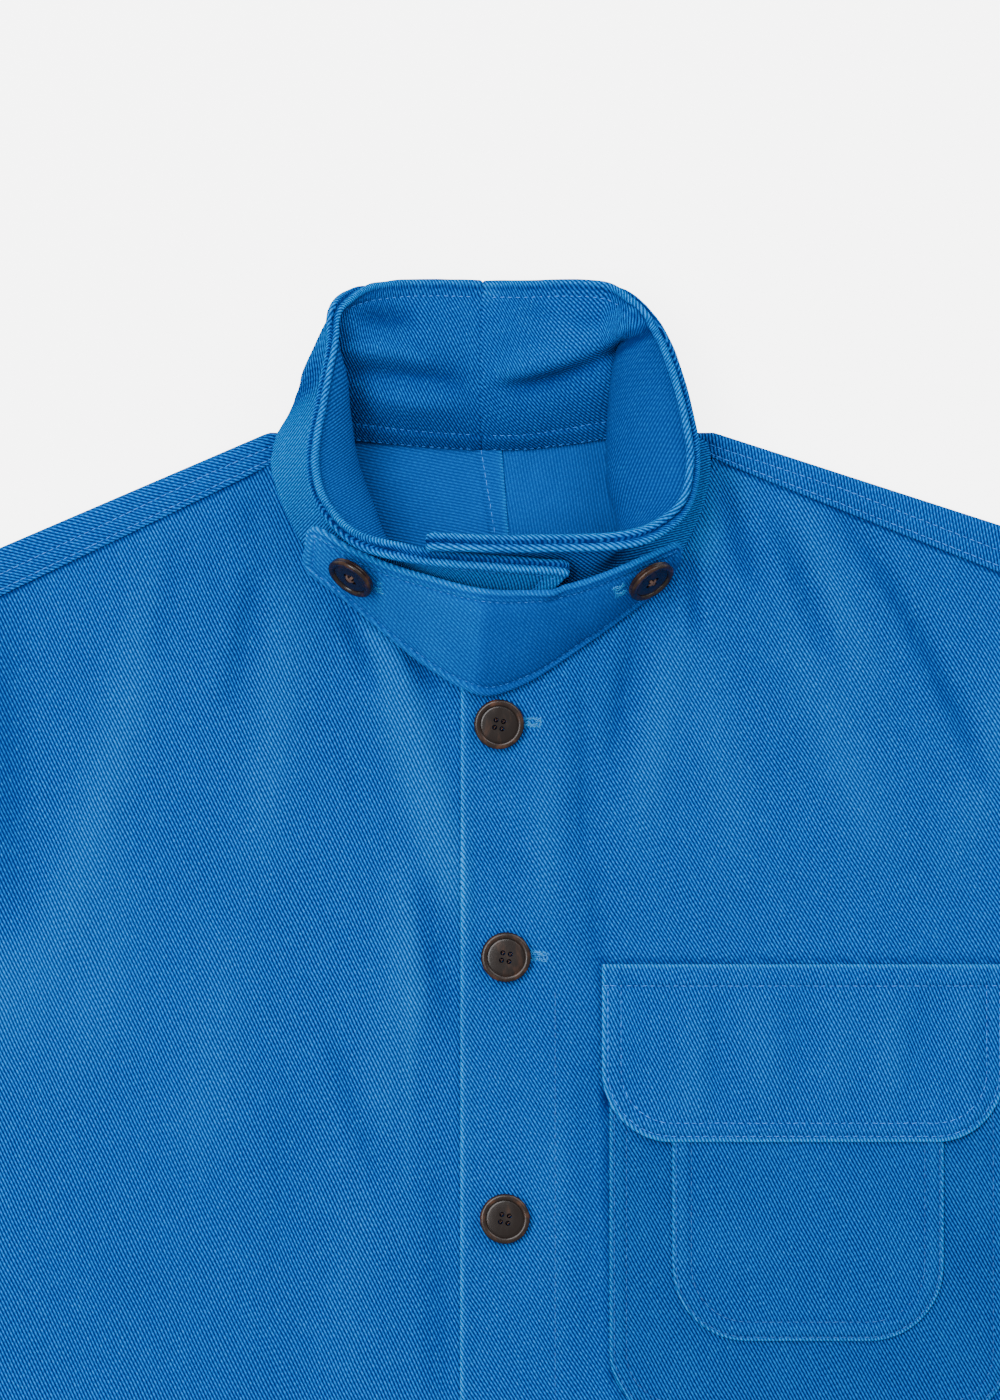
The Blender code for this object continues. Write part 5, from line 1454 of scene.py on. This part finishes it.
def build_sleeve(name, side, finish):
    """One-piece sleeve laid flat: a tube from the armhole to the cuff, and its row of stitches."""
    along = np.array([math.cos(SLEEVE_DROP), -math.sin(SLEEVE_DROP)])
    across = np.array([-math.sin(SLEEVE_DROP), -math.cos(SLEEVE_DROP)])
    tip_y = outline_y(side, SHOULDER_X)
    cuff_top = np.array([SHOULDER_X, tip_y]) + along * SLEEVE_LENGTH
    depth = np.concatenate([[0.0], np.linspace(0.004, 0.996, 78), [1.0]])
    station = np.concatenate([[0.0, 0.002, 0.006, 0.012, 0.02], np.linspace(0.028, 0.88, 110),
                              1 - np.array(CUFF_STEPS) / SLEEVE_LENGTH])
    start_y = tip_y - (tip_y - side.underarm_y) * depth
    start = np.column_stack([armhole_x(side, start_y), start_y]) + along * 0.2
    end = cuff_top + across * CUFF_WIDTH * depth[:, None]
    line = start + (end - start) * station[:, None, None]
    width = np.linalg.norm(line[:, -1] - line[:, 0], axis=1)
    inward = (line[:, -1] - line[:, 0]) / width[:, None]
    radius = (FRONT_LEVEL - BACK_LEVEL) / 2
    turn = np.radians(SLEEVE_TURNS)
    roll = np.column_stack([np.sin(turn) * radius, BACK_LEVEL + radius * (1 + np.cos(turn))])
    rows = []
    for at, place, direction, wide in zip(station, line, inward, width):
        distance = np.linalg.norm(place - place[0], axis=1)[2:-2]
        cuff = max(0.0, 1 - at) * SLEEVE_LENGTH
        flat = place[2:-2]
        s = np.full(len(flat), at)
        folds = fold_height(s, depth[2:-2], SLEEVE_FOLDS) * smooth_step(cuff / 40)
        waves = 0.35 * soft_noise(flat[:, 0], flat[:, 1], 50, 81)
        waves = waves + 0.8 * bump(s - 0.015, 0.02) * soft_noise(flat[:, 0], flat[:, 1], 26, 83)
        edge = smooth_step(np.minimum(distance, wide - distance) / 22)
        top_z = FRONT_LEVEL + edge * (folds + waves) - 0.35 * bump(cuff - CUFF_ROW, 0.9)
        top_z = top_z + 0.3 * smooth_step((CUFF_ROW + 1 - cuff) / 2)
        near, far = place[0] + direction * radius, place[-1] - direction * radius
        rows.append([(*near, FRONT_LEVEL), *((*plan, z) for plan, z in zip(flat, top_z)),
                     (*far, FRONT_LEVEL),
                     *((*(far + direction * out), z) for out, z in roll), (*far, BACK_LEVEL),
                     *((*plan, BACK_LEVEL) for plan in flat[::-4]), (*near, BACK_LEVEL),
                     *((*(near - direction * out), z) for out, z in roll[::-1])])
    mid = np.array(rows)
    mid[..., 0] *= side.sign
    normal = grid_normals(mid, closed=True)
    if ((mid - mid.mean(axis=1, keepdims=True)) * normal).sum() < 0:
        normal = -normal
    run = running_length(mid)
    from_cuff = (1 - station) * SLEEVE_LENGTH
    half = CLOTH / 2 * round_edge(from_cuff, 0.9)[:, None, None]
    outer, inner = mid + normal * half, mid - normal * half
    ring = np.arange(run.shape[1])
    after = np.roll(ring, -1)
    rims = [(after + first, ring + first) for first in (0, run.size - run.shape[1])]
    uv = np.stack([run, np.broadcast_to((station * SLEEVE_LENGTH)[:, None], run.shape)], axis=-1)
    wear = 0.9 * bump(from_cuff, 2.0) + 0.3 * bump(from_cuff - CUFF_ROW, 2.2)
    piece = shut_walls(name, outer.reshape(-1, 3), inner.reshape(-1, 3), grid_quads(*run.shape, closed=True),
                       rims, uv.reshape(-1, 2), np.repeat(wear, run.shape[1]), np.full(run.size, SLEEVE_NAP),
                       finish, round_length=run[:, -1].mean())
    path = outer[nearest(from_cuff, CUFF_ROW)]
    path[:, 2] = np.maximum(path[:, 2], FLOOR_GAP) - 0.05
    return piece, [np.vstack([path, path[:1]])]


# Buttons

BUTTON_OUTLINE = [(8.3, 0.0), (9.0, 0.15), (9.5, 0.55), (9.8, 1.1), (9.65, 1.5), (9.7, 1.75), (9.9, 2.2),
                  (10.0, 2.7), (9.85, 3.15), (9.45, 3.5), (8.9, 3.65), (8.2, 3.6), (7.7, 3.4), (7.4, 3.0),
                  (7.3, 2.75), (7.05, 2.75), (6.85, 2.86), (6.6, 2.9), (3.4, 2.9)]
BUTTON_FACE = 2.9
BUTTON_SIDES = 56
BUTTON_STAND = 0.6
RUBBED_FROM = 7.4
HOLE_OFFSET = 1.5
HOLE_RADIUS = 1.0
HOLE_SIDES = 18
DRILL_DEPTH = 12.0
SHARP_ANGLE = math.radians(50)
HOLES = [(x, y) for x in (-HOLE_OFFSET, HOLE_OFFSET) for y in (-HOLE_OFFSET, HOLE_OFFSET)]
BUTTON_THREAD = 0.26
FRONT_SLIT = 6.8
TAB_SLIT = 4.8
FRONT_FRAY = 0.13
TAB_FRAY = 0.12
STRAND_SHARES = (-1, -0.5, 0, 0.5, 1)
STRAND_PITCH = 0.42
LOOSE_STRANDS = 12


def shape_object(name, shape):
    """An object that takes over a shape being worked on."""
    mesh = bpy.data.meshes.new(name)
    shape.to_mesh(mesh)
    shape.free()
    return add_object(name, mesh)


def turned_button():
    """Mesh of a four-hole button in millimetres: full rim, dished middle, holes right through."""
    shape = bmesh.new()
    turns = [2 * math.pi * k / BUTTON_SIDES for k in range(BUTTON_SIDES)]
    rings = [[shape.verts.new((radius * math.cos(a), radius * math.sin(a), height)) for a in turns]
             for radius, height in BUTTON_OUTLINE]
    for lower, upper in zip(rings, rings[1:]):
        for k in range(BUTTON_SIDES):
            beside = (k + 1) % BUTTON_SIDES
            shape.faces.new((lower[k], lower[beside], upper[beside], upper[k]))
    shape.faces.new(rings[0][::-1])
    shape.faces.new(rings[-1])
    blank = shape_object("button blank", shape)
    shape = bmesh.new()
    for x, y in HOLES:
        bmesh.ops.create_cone(shape, cap_ends=True, segments=HOLE_SIDES, radius1=HOLE_RADIUS,
                              radius2=HOLE_RADIUS, depth=DRILL_DEPTH, matrix=Matrix.Translation((x, y, 0)))
    drill = shape_object("button drill", shape)
    cut = blank.modifiers.new("holes", "BOOLEAN")
    cut.operation = "DIFFERENCE"
    cut.solver = "EXACT"
    cut.object = drill
    mesh = bpy.data.meshes.new_from_object(blank.evaluated_get(bpy.context.evaluated_depsgraph_get()))
    for scratch in (blank, drill):
        bpy.data.objects.remove(scratch)
    return mesh


def strand_mesh(name, paths, radius, sides, finish):
    """Mesh of round strands along paths, closed at both ends."""
    points, faces = [], []
    for path in paths:
        path = np.asarray(path, dtype=float)
        run = unit(np.gradient(path, axis=0))
        side = unit(np.cross(run, [0.13, 0.21, 1.0]))
        above = np.cross(side, run)
        start = len(points)
        for place, a, b in zip(path, side, above):
            for k in range(sides):
                turn = 2 * math.pi * k / sides
                points.append(place + radius * (math.cos(turn) * a + math.sin(turn) * b))
        last = len(points) - sides
        faces += grid_quads(len(path), sides, start, closed=True).tolist()
        faces += [list(range(start, start + sides))[::-1], list(range(last, last + sides))]
    mesh = bpy.data.meshes.new(name)
    mesh.from_pydata(np.array(points).tolist(), [], faces)
    mesh.materials.append(finish)
    mesh.shade_smooth()
    return mesh


def button_threads(rng, crossed):
    """Strands of thread that hold a button: a cross over its face, or ends deep in its holes."""
    paths = []
    if not crossed:
        for hole in HOLES:
            for turn in (0.4, 2.5, 4.6):
                reach = 0.45 + rng.uniform(-0.05, 0.05)
                foot = np.array([hole[0] + reach * math.cos(turn), hole[1] + reach * math.sin(turn)])
                top = hole + (foot - hole) * 0.8
                paths.append([(*foot, 0.1), (*foot, 0.7), (*top, BUTTON_FACE - rng.uniform(0.9, 1.3))])
        return paths
    for end in ((1, 1), (1, -1)):
        for strand in (-0.42, -0.14, 0.14, 0.42):
            aside = np.array([-end[1], end[0]]) * strand * 0.62
            lift = rng.uniform(-0.05, 0.1) + (0.3 if end[1] < 0 else 0.0)
            path = []
            for t in np.linspace(-1, 1, 11):
                reach = HOLE_OFFSET * t
                height = BUTTON_FACE - 1.2 + 1.5 * (1 - abs(t) ** 5) + lift * (1 - t * t)
                path.append((end[0] * reach + aside[0], end[1] * reach + aside[1], height))
            paths.append(path)
    return paths


def build_button(name, mesh, point, normal, stand, turn, finish, thread, seed):
    """Seats a button and its threads over a surface, with the place in the mesh."""
    facing = Vector((0, 0, 1)).rotation_difference(Vector(normal)).to_matrix().to_4x4()
    seat = Vector(point) + Vector(normal) * stand + Vector(PLAN_SHIFT)
    place = Matrix.Diagonal((MM, MM, MM, 1)) @ Matrix.Translation(seat) @ facing
    place = place @ Matrix.Rotation(turn, 4, "Z")
    body = mesh.copy()
    body.transform(place)
    spread = body.attributes.new("wear", "FLOAT", "POINT")
    radii = np.array([math.hypot(v.co.x, v.co.y) for v in mesh.vertices])
    spread.data.foreach_set("value", smooth_step((radii - RUBBED_FROM) / 0.8).astype(np.float32))
    body.materials.clear()
    body.materials.append(finish)
    body.shade_smooth()
    body.set_sharp_from_angle(angle=SHARP_ANGLE)
    strands = button_threads(np.random.default_rng(seed), name.startswith("tab"))
    sewn = strand_mesh(name + "_thread", strands, BUTTON_THREAD, 6, thread)
    sewn.transform(place)
    fix_to_coat(add_object(name, body), name, replaces=True)
    fix_to_coat(add_object(sewn.name, sewn), name)


def surface_frame(point_at, u, v, step_u, step_v):
    """A surface's point and unit normal, from its neighbours along both directions."""
    along_u = np.array(point_at(u + step_u, v)) - np.array(point_at(u - step_u, v))
    along_v = np.array(point_at(u, v + step_v)) - np.array(point_at(u, v - step_v))
    normal = unit(np.cross(along_u, along_v))
    return point_at(u, v), normal if normal[2] > 0 else -normal


def buttonhole_threads(centre, direction, length, tree, rng):
    """Short uneven strands across a worn slit, like its sewn edge, and loose ones along it."""
    along = unit(np.array(direction))
    aside = np.array([-along[1], along[0]])
    centre = np.array(centre)

    def strand(middle, reach, sway, high, fall):
        """Places of one strand that lies on the cloth, its ends lower than its middle."""
        places = [middle + reach * share + sway * (1 - share * share) for share in STRAND_SHARES]
        return [(*place, (top_of(tree, *place) or 0.0) + (high - fall * share * share))
                for place, share in zip(places, STRAND_SHARES)]

    paths = []
    for t in np.linspace(-0.5, 0.5, int(length / STRAND_PITCH)):
        for side in (-1, 1):
            end = smooth_step((t - 0.36) / 0.1)
            middle = centre + along * t * length + aside * side * (rng.uniform(1.0, 1.7) - 0.5 * end)
            reach = rng.uniform(0.5, 1.0) + 0.6 * end
            slant = along * rng.uniform(-0.8, 0.8)
            paths.append(strand(middle, aside * reach + slant, 0, 0.2, 0.22))
    for _ in range(LOOSE_STRANDS):
        middle = centre + along * rng.uniform(-0.4, 0.4) * length + aside * rng.uniform(-2.0, 2.0)
        reach = along * rng.uniform(0.8, 1.9) + aside * rng.uniform(-0.5, 0.5)
        paths.append(strand(middle, reach, aside * rng.uniform(-0.5, 0.5), 0.3, 0.3))
    return paths


def build_strands(name, paths, radius, finish, slot_name):
    """A piece of loose strands lying on the cloth."""
    mesh = strand_mesh(name, [to_metres(path) for path in paths], radius * MM, 5, finish)
    fix_to_coat(add_object(name, mesh), slot_name)


# Stage

PHOTO_SIZE = (1000, 1400)
CAMERA_HEIGHT = 1.8
FILM_HEIGHT = 36.0
SEEN_HEIGHT = 0.56
FLOOR_REACH = 6.0
WHITE = (1, 1, 1, 1)


def build_stage(look):
    """Pale floor, soft studio light from the upper left, and the camera straight above."""
    scene = bpy.context.scene
    mesh = bpy.data.meshes.new("floor")
    corners = [(FLOOR_REACH * x, FLOOR_REACH * y, 0) for x, y in ((-1, -1), (1, -1), (1, 1), (-1, 1))]
    mesh.from_pydata(corners, [], [(0, 1, 2, 3)])
    finish, tree, shader = new_finish("floor")
    seen = add_node(tree, "ShaderNodeLightPath").outputs["Is Camera Ray"]
    set_sockets(tree, shader, {
        "Base Color": opaque(look.floor_colour), "Roughness": 0.95, "Specular IOR Level": 0.0,
        "Emission Color": WHITE, "Emission Strength": compute(tree, "MULTIPLY", seen, look.floor_glow)})
    mesh.materials.append(finish)
    world = bpy.data.worlds.new("studio")
    world.use_nodes = True
    set_sockets(world.node_tree, world.node_tree.nodes["Background"],
                {"Color": WHITE, "Strength": look.fill_strength})
    scene.world = world
    stage = [add_object("floor", mesh)]
    middle = Vector(PLAN_SHIFT * MM)
    for name, place, length, width, power in (("key light", (-0.95, 0.45, 2.3), 2.4, 1.0, look.key_power),
                                              ("side light", (1.2, 1.4, 1.6), 1.6, 1.6, look.side_power)):
        lamp = bpy.data.lights.new(name, "AREA")
        lamp.shape = "RECTANGLE"
        lamp.size = length
        lamp.size_y = width
        lamp.energy = power
        light = add_object(name, lamp)
        light.location = middle + Vector(place)
        light.rotation_euler = (-Vector(place)).to_track_quat("-Z", "Y").to_euler()
        stage.append(light)
    lens = bpy.data.cameras.new("camera")
    lens.sensor_fit = "VERTICAL"
    lens.sensor_height = FILM_HEIGHT
    lens.sensor_width = FILM_HEIGHT * PHOTO_SIZE[0] / PHOTO_SIZE[1]
    lens.lens = FILM_HEIGHT * CAMERA_HEIGHT / SEEN_HEIGHT
    lens.dof.use_dof = False
    camera = add_object("camera", lens)
    camera.location = (middle.x, middle.y, CAMERA_HEIGHT)
    scene.camera = camera


# Add-on

def length_setting(name, description, default, low, high):
    """A length that the panel shows."""
    return FloatProperty(name=name, description=description, default=default, min=low, max=high,
                         unit="LENGTH")


def strength_setting(name, description, default, high, unit="NONE"):
    """A strength from 0 up that the panel shows."""
    return FloatProperty(name=name, description=description, default=default, min=0, max=high, unit=unit)


def colour_setting(name, description, default):
    """A colour that the panel shows."""
    return FloatVectorProperty(name=name, description=description, default=default, size=3, min=0, max=1,
                               subtype="COLOR")


class CoatLook(bpy.types.PropertyGroup):
    """Sizes and colours of the coat's dressing."""

    rib_pitch: length_setting("Rib pitch", "Distance between twill ribs", 0.00122, 0.0005, 0.004)
    deep_colour: colour_setting("Deep dye", "Dye between the ribs", (0.0001, 0.0095, 0.09))
    light_colour: colour_setting("Light dye", "Faded dye on the ribs", (0.0002, 0.132, 0.53))
    # The worn colour also serves as painted light where a shaded place is lifted.
    pale_colour: colour_setting("Worn dye", "Colour where the cloth is rubbed", (0.004, 0.24, 0.68))
    thread_colour: colour_setting("Thread", "Colour of the sewing thread", (0.006, 0.18, 0.68))
    buttonhole_colour: colour_setting("Buttonhole thread", "Frayed thread of the buttonholes",
                                      (0.008, 0.25, 0.66))
    horn_colour: colour_setting("Horn", "Colour of the buttons", (0.008, 0.0048, 0.0038))
    horn_streak_colour: colour_setting("Horn streaks", "Brown streaks in the horn", (0.03, 0.013, 0.007))
    horn_rub_colour: colour_setting("Rubbed horn", "Rubbed rims of the buttons", (0.075, 0.03, 0.014))
    button_thread_colour: colour_setting("Button thread", "Thread through the buttons", (0.09, 0.045, 0.03))
    stitch_pitch: length_setting("Stitch pitch", "Distance between stitches", 0.0031, 0.001, 0.01)
    stitch_length: length_setting("Stitch length", "Length of a stitch", 0.0027, 0.0005, 0.01)
    thread_thickness: length_setting("Thread thickness", "Thickness of the thread", 0.00052, 0.0001, 0.002)
    floor_colour: colour_setting("Floor", "Colour of the floor", (0.82, 0.82, 0.82))
    floor_glow: strength_setting("Floor glow", "How bright the floor is made for the camera", 4.5, 20)
    key_power: strength_setting("Key light", "Power of the light from the upper left", 104.0, 1000, "POWER")
    side_power: strength_setting("Side light", "Power of the soft light behind the right shoulder", 40.0,
                                 1000, "POWER")
    fill_strength: strength_setting("Fill", "Strength of the even light all round", 0.78, 5)
    seed: IntProperty(name="Seed", description="Changes the threads' small turns", default=3, min=0)


def sew_and_declare(name, piece, paths, look, seed, flat, rests_on, area, **stitches):
    """Sews a laid piece of cloth along its paths."""
    sewn = sew(name + "_stitches", paths, look, name, seed, **stitches)


class COAT_OT_stage(bpy.types.Operator):
    """Sets up the floor, the lights and the camera"""
    bl_idname = "coat.stage"
    bl_label = "Studio"

    def execute(self, context):
        build_stage(context.scene.coat_look)
        return {"FINISHED"}


class COAT_OT_fronts(bpy.types.Operator):
    """Makes both fronts with their turned edges, and their facing and hem stitches"""
    bl_idname = "coat.fronts"
    bl_label = "Fronts"

    def execute(self, context):
        look = context.scene.coat_look
        under = build_front("front_right", RIGHT, COLLAR_RIGHT, right_front_level,
                            cloth_finish("right front twill", look, -64, pitch=1.04))
        over = build_front("front_left", LEFT, COLLAR_LEFT, left_front_level,
                           cloth_finish("left front twill", look, -58))
        row_y = HEM_Y + HEM_ROW
        facing = plan_line(FACING_ROW_X, FACING_TOP_Y, FACING_ROW_X, row_y)
        over_hem = plan_line(LEFT.front_edge_x + 4, row_y, HEM_HALF_WIDTH - 4, row_y)
        under_hem = plan_line(-HEM_HALF_WIDTH + 4, row_y, 10, row_y)
        for name, piece, rows, seed, flat, rests_on, area in (
                ("front_left", over, (facing, over_hem), 0,
                 (0.305, 0.70), ["front_right", "back_left"], 0.180),
                ("front_right", under, (under_hem,), 1, (0.310, 0.70), ["back_right"], 0.187)):
            tree = surface_tree(piece)
            sew_and_declare(name, piece, [draped(tree, row, -0.08) for row in rows], look, look.seed + seed,
                            flat, rests_on, area, thread=deep_thread(look))
        return {"FINISHED"}


class COAT_OT_backs(bpy.types.Operator):
    """Makes both backs, turned over the shoulders and lapped on the fronts"""
    bl_idname = "coat.backs"
    bl_label = "Backs"

    def execute(self, context):
        look = context.scene.coat_look
        for name, side, table, level, angle, seed in (
                ("back_left", LEFT, COLLAR_LEFT, left_front_level, -80, 10),
                ("back_right", RIGHT, COLLAR_RIGHT, right_front_level, -12, 11)):
            finish = cloth_finish(name + " twill", look, angle)
            piece, paths = build_back(name, side, table, level, finish)
            sew_and_declare(name, piece, paths, look, look.seed + seed, (0.30, 0.75), ["floor"], 0.195)
        return {"FINISHED"}


class COAT_OT_collar(bpy.types.Operator):
    """Makes the two halves of the standing collar"""
    bl_idname = "coat.collar"
    bl_label = "Collar"

    def execute(self, context):
        look = context.scene.coat_look
        for name, table, angle, half_sign, rests_on, seed in (
                ("collar_left", COLLAR_LEFT, -52, 1, ["front_left", "back_left"], 20),
                ("collar_right", COLLAR_RIGHT, -62, -1, ["front_right", "back_right"], 21)):
            # A darker copy of the twill: painted shade over the collar.
            finish = cloth_finish(name + " twill", look, angle, shade=0.92, pitch=0.88)
            piece, paths = build_collar(name, table, finish, half_sign)
            sew_and_declare(name, piece, paths, look, look.seed + seed, (0.27, 0.080), rests_on, 0.0200,
                            pitch=0.0029, length=0.002)
        return {"FINISHED"}


class COAT_OT_tab(bpy.types.Operator):
    """Makes the throat tab"""
    bl_idname = "coat.tab"
    bl_label = "Throat tab"

    def execute(self, context):
        look = context.scene.coat_look
        name = "throat_tab"
        # A lighter copy of the twill: painted light over the tab.
        finish = cloth_finish("tab twill", look, -48, shade=1.08, pitch=0.93)
        under = ("collar_left", "collar_right", "front_left", "front_right")
        piece, paths = build_tab(name, finish, [bpy.data.objects[carrier] for carrier in under])
        sew_and_declare(name, piece, paths, look, look.seed + 30, (0.185, 0.045),
                        ["collar_left", "collar_right"], 0.0068, pitch=0.0028, length=0.0019)
        return {"FINISHED"}


class COAT_OT_pocket(bpy.types.Operator):
    """Makes the chest pocket, the patch pocket on it and the flap over both"""
    bl_idname = "coat.pocket"
    bl_label = "Pocket"

    def execute(self, context):
        look = context.scene.coat_look
        deep = deep_thread(look)
        for name, cloth, angle, shade, thread, rows, band, seed, flat, area, carrier in (
                ("chest_pocket", "pocket twill", -60, 0.82, deep, (2.0, 6.8), 0.0, 91,
                 (0.160, 0.173), 0.0272, "front_left"),
                ("pocket_patch", "patch twill", -62, 0.9, deep, (1.6, 7.6), 0.0, 92,
                 (0.108, 0.132), 0.0138, "chest_pocket"),
                ("pocket_flap", "flap twill", -65, 1.0, None, (2.4, 7.6), 8.6, 93,
                 (0.161, 0.071), 0.0111, "chest_pocket")):
            finish = cloth_finish(cloth, look, angle, shade=shade)
            piece, paths = build_pocket(name, finish, rows, band, seed)
            sew_and_declare(name, piece, paths, look, seed, flat, [carrier], area, thread=thread)
        return {"FINISHED"}


class COAT_OT_sleeves(bpy.types.Operator):
    """Makes both sleeves"""
    bl_idname = "coat.sleeves"
    bl_label = "Sleeves"

    def execute(self, context):
        look = context.scene.coat_look
        for name, side, angle in (("sleeve_left", LEFT, -57), ("sleeve_right", RIGHT, 57)):
            piece, paths = build_sleeve(name, side, cloth_finish(name + " twill", look, angle))
            sew_and_declare(name, piece, paths, look, look.seed + 40, (0.46, 0.61), ["floor"], 0.245)
        return {"FINISHED"}


class COAT_OT_buttons(bpy.types.Operator):
    """Makes the front and tab buttons with their threads and buttonholes"""
    bl_idname = "coat.buttons"
    bl_label = "Buttons"

    def execute(self, context):
        look = context.scene.coat_look
        horn = horn_finish(look)
        thread = thread_finish("button thread", look.button_thread_colour)
        frayed = thread_finish("buttonhole thread", look.buttonhole_colour)
        mesh = turned_button()
        rng = np.random.default_rng(look.seed)
        tree = surface_tree(bpy.data.objects["front_left"])
        slits = []
        for number, (x, y) in enumerate(FRONT_BUTTONS, 1):
            point, normal = surface_frame(lambda u, v: (u, v, float(left_front_level(u, v))), x, y, 8.0, 8.0)
            build_button(f"front_button_{number}", mesh, point, normal, CLOTH / 2 + BUTTON_STAND,
                         rng.uniform(-0.25, 0.25), horn, thread, number)
            slits += buttonhole_threads((x + SLIT_ASIDE[0], y + SLIT_ASIDE[1]), (1.0, -0.06), FRONT_SLIT,
                                        tree, rng)
        build_strands("front_buttonholes", slits, FRONT_FRAY, frayed, "front_left")
        tree = surface_tree(bpy.data.objects["throat_tab"])
        slits = []
        for (name, (station, drop, heading)), number in zip(TAB_BUTTONS.items(), (6, 7)):
            point, normal = surface_frame(tab_point, station, drop, 0.6, 0.2)
            normal = Vector(normal)
            surface = tree.ray_cast(Vector(point) + normal * 12, -normal)[0] or Vector(point)
            turn, flat = math.radians(heading), math.sin(TAB_BUTTON_TILT)
            facing = Vector((math.cos(turn) * flat, math.sin(turn) * flat, math.cos(TAB_BUTTON_TILT)))
            lean = facing.angle(normal)
            seat = surface + normal * (BUTTON_STAND + BUTTON_OUTLINE[0][0] * math.sin(lean))
            build_button(name, mesh, seat, facing, 0.0, rng.uniform(-0.3, 0.3), horn, thread, number)
            inward = (Vector(tab_point(TAB_POINT_STATION, 0.5)) - seat).normalized()
            slit = (seat.x + inward.x * TAB_SLIT_REACH, seat.y + inward.y * TAB_SLIT_REACH)
            slits += buttonhole_threads(slit, (inward.x, inward.y), TAB_SLIT, tree, rng)
        build_strands("tab_buttonholes", slits, TAB_FRAY, frayed, "throat_tab")
        return {"FINISHED"}


PIECES = (COAT_OT_stage, COAT_OT_fronts, COAT_OT_backs, COAT_OT_collar, COAT_OT_tab, COAT_OT_pocket,
          COAT_OT_sleeves, COAT_OT_buttons)


class COAT_PT_panel(bpy.types.Panel):
    """Lists the coat's pieces and its look"""
    bl_idname = "COAT_PT_panel"
    bl_label = "Chore coat"
    bl_space_type = "VIEW_3D"
    bl_region_type = "UI"
    bl_category = "Coat"

    def draw(self, context):
        look = context.scene.coat_look
        for name in CoatLook.__annotations__:
            self.layout.prop(look, name)
        for piece in PIECES:
            self.layout.operator(piece.bl_idname)


CLASSES = (CoatLook, *PIECES, COAT_PT_panel)


def register():
    for cls in CLASSES:
        bpy.utils.register_class(cls)
    bpy.types.Scene.coat_look = PointerProperty(type=CoatLook)


def unregister():
    del bpy.types.Scene.coat_look
    for cls in reversed(CLASSES):
        bpy.utils.unregister_class(cls)


def main():
    register()
    for piece in PIECES:
        family, name = piece.bl_idname.split(".")
        getattr(getattr(bpy.ops, family), name)()


if __name__ == "__main__":
    main()
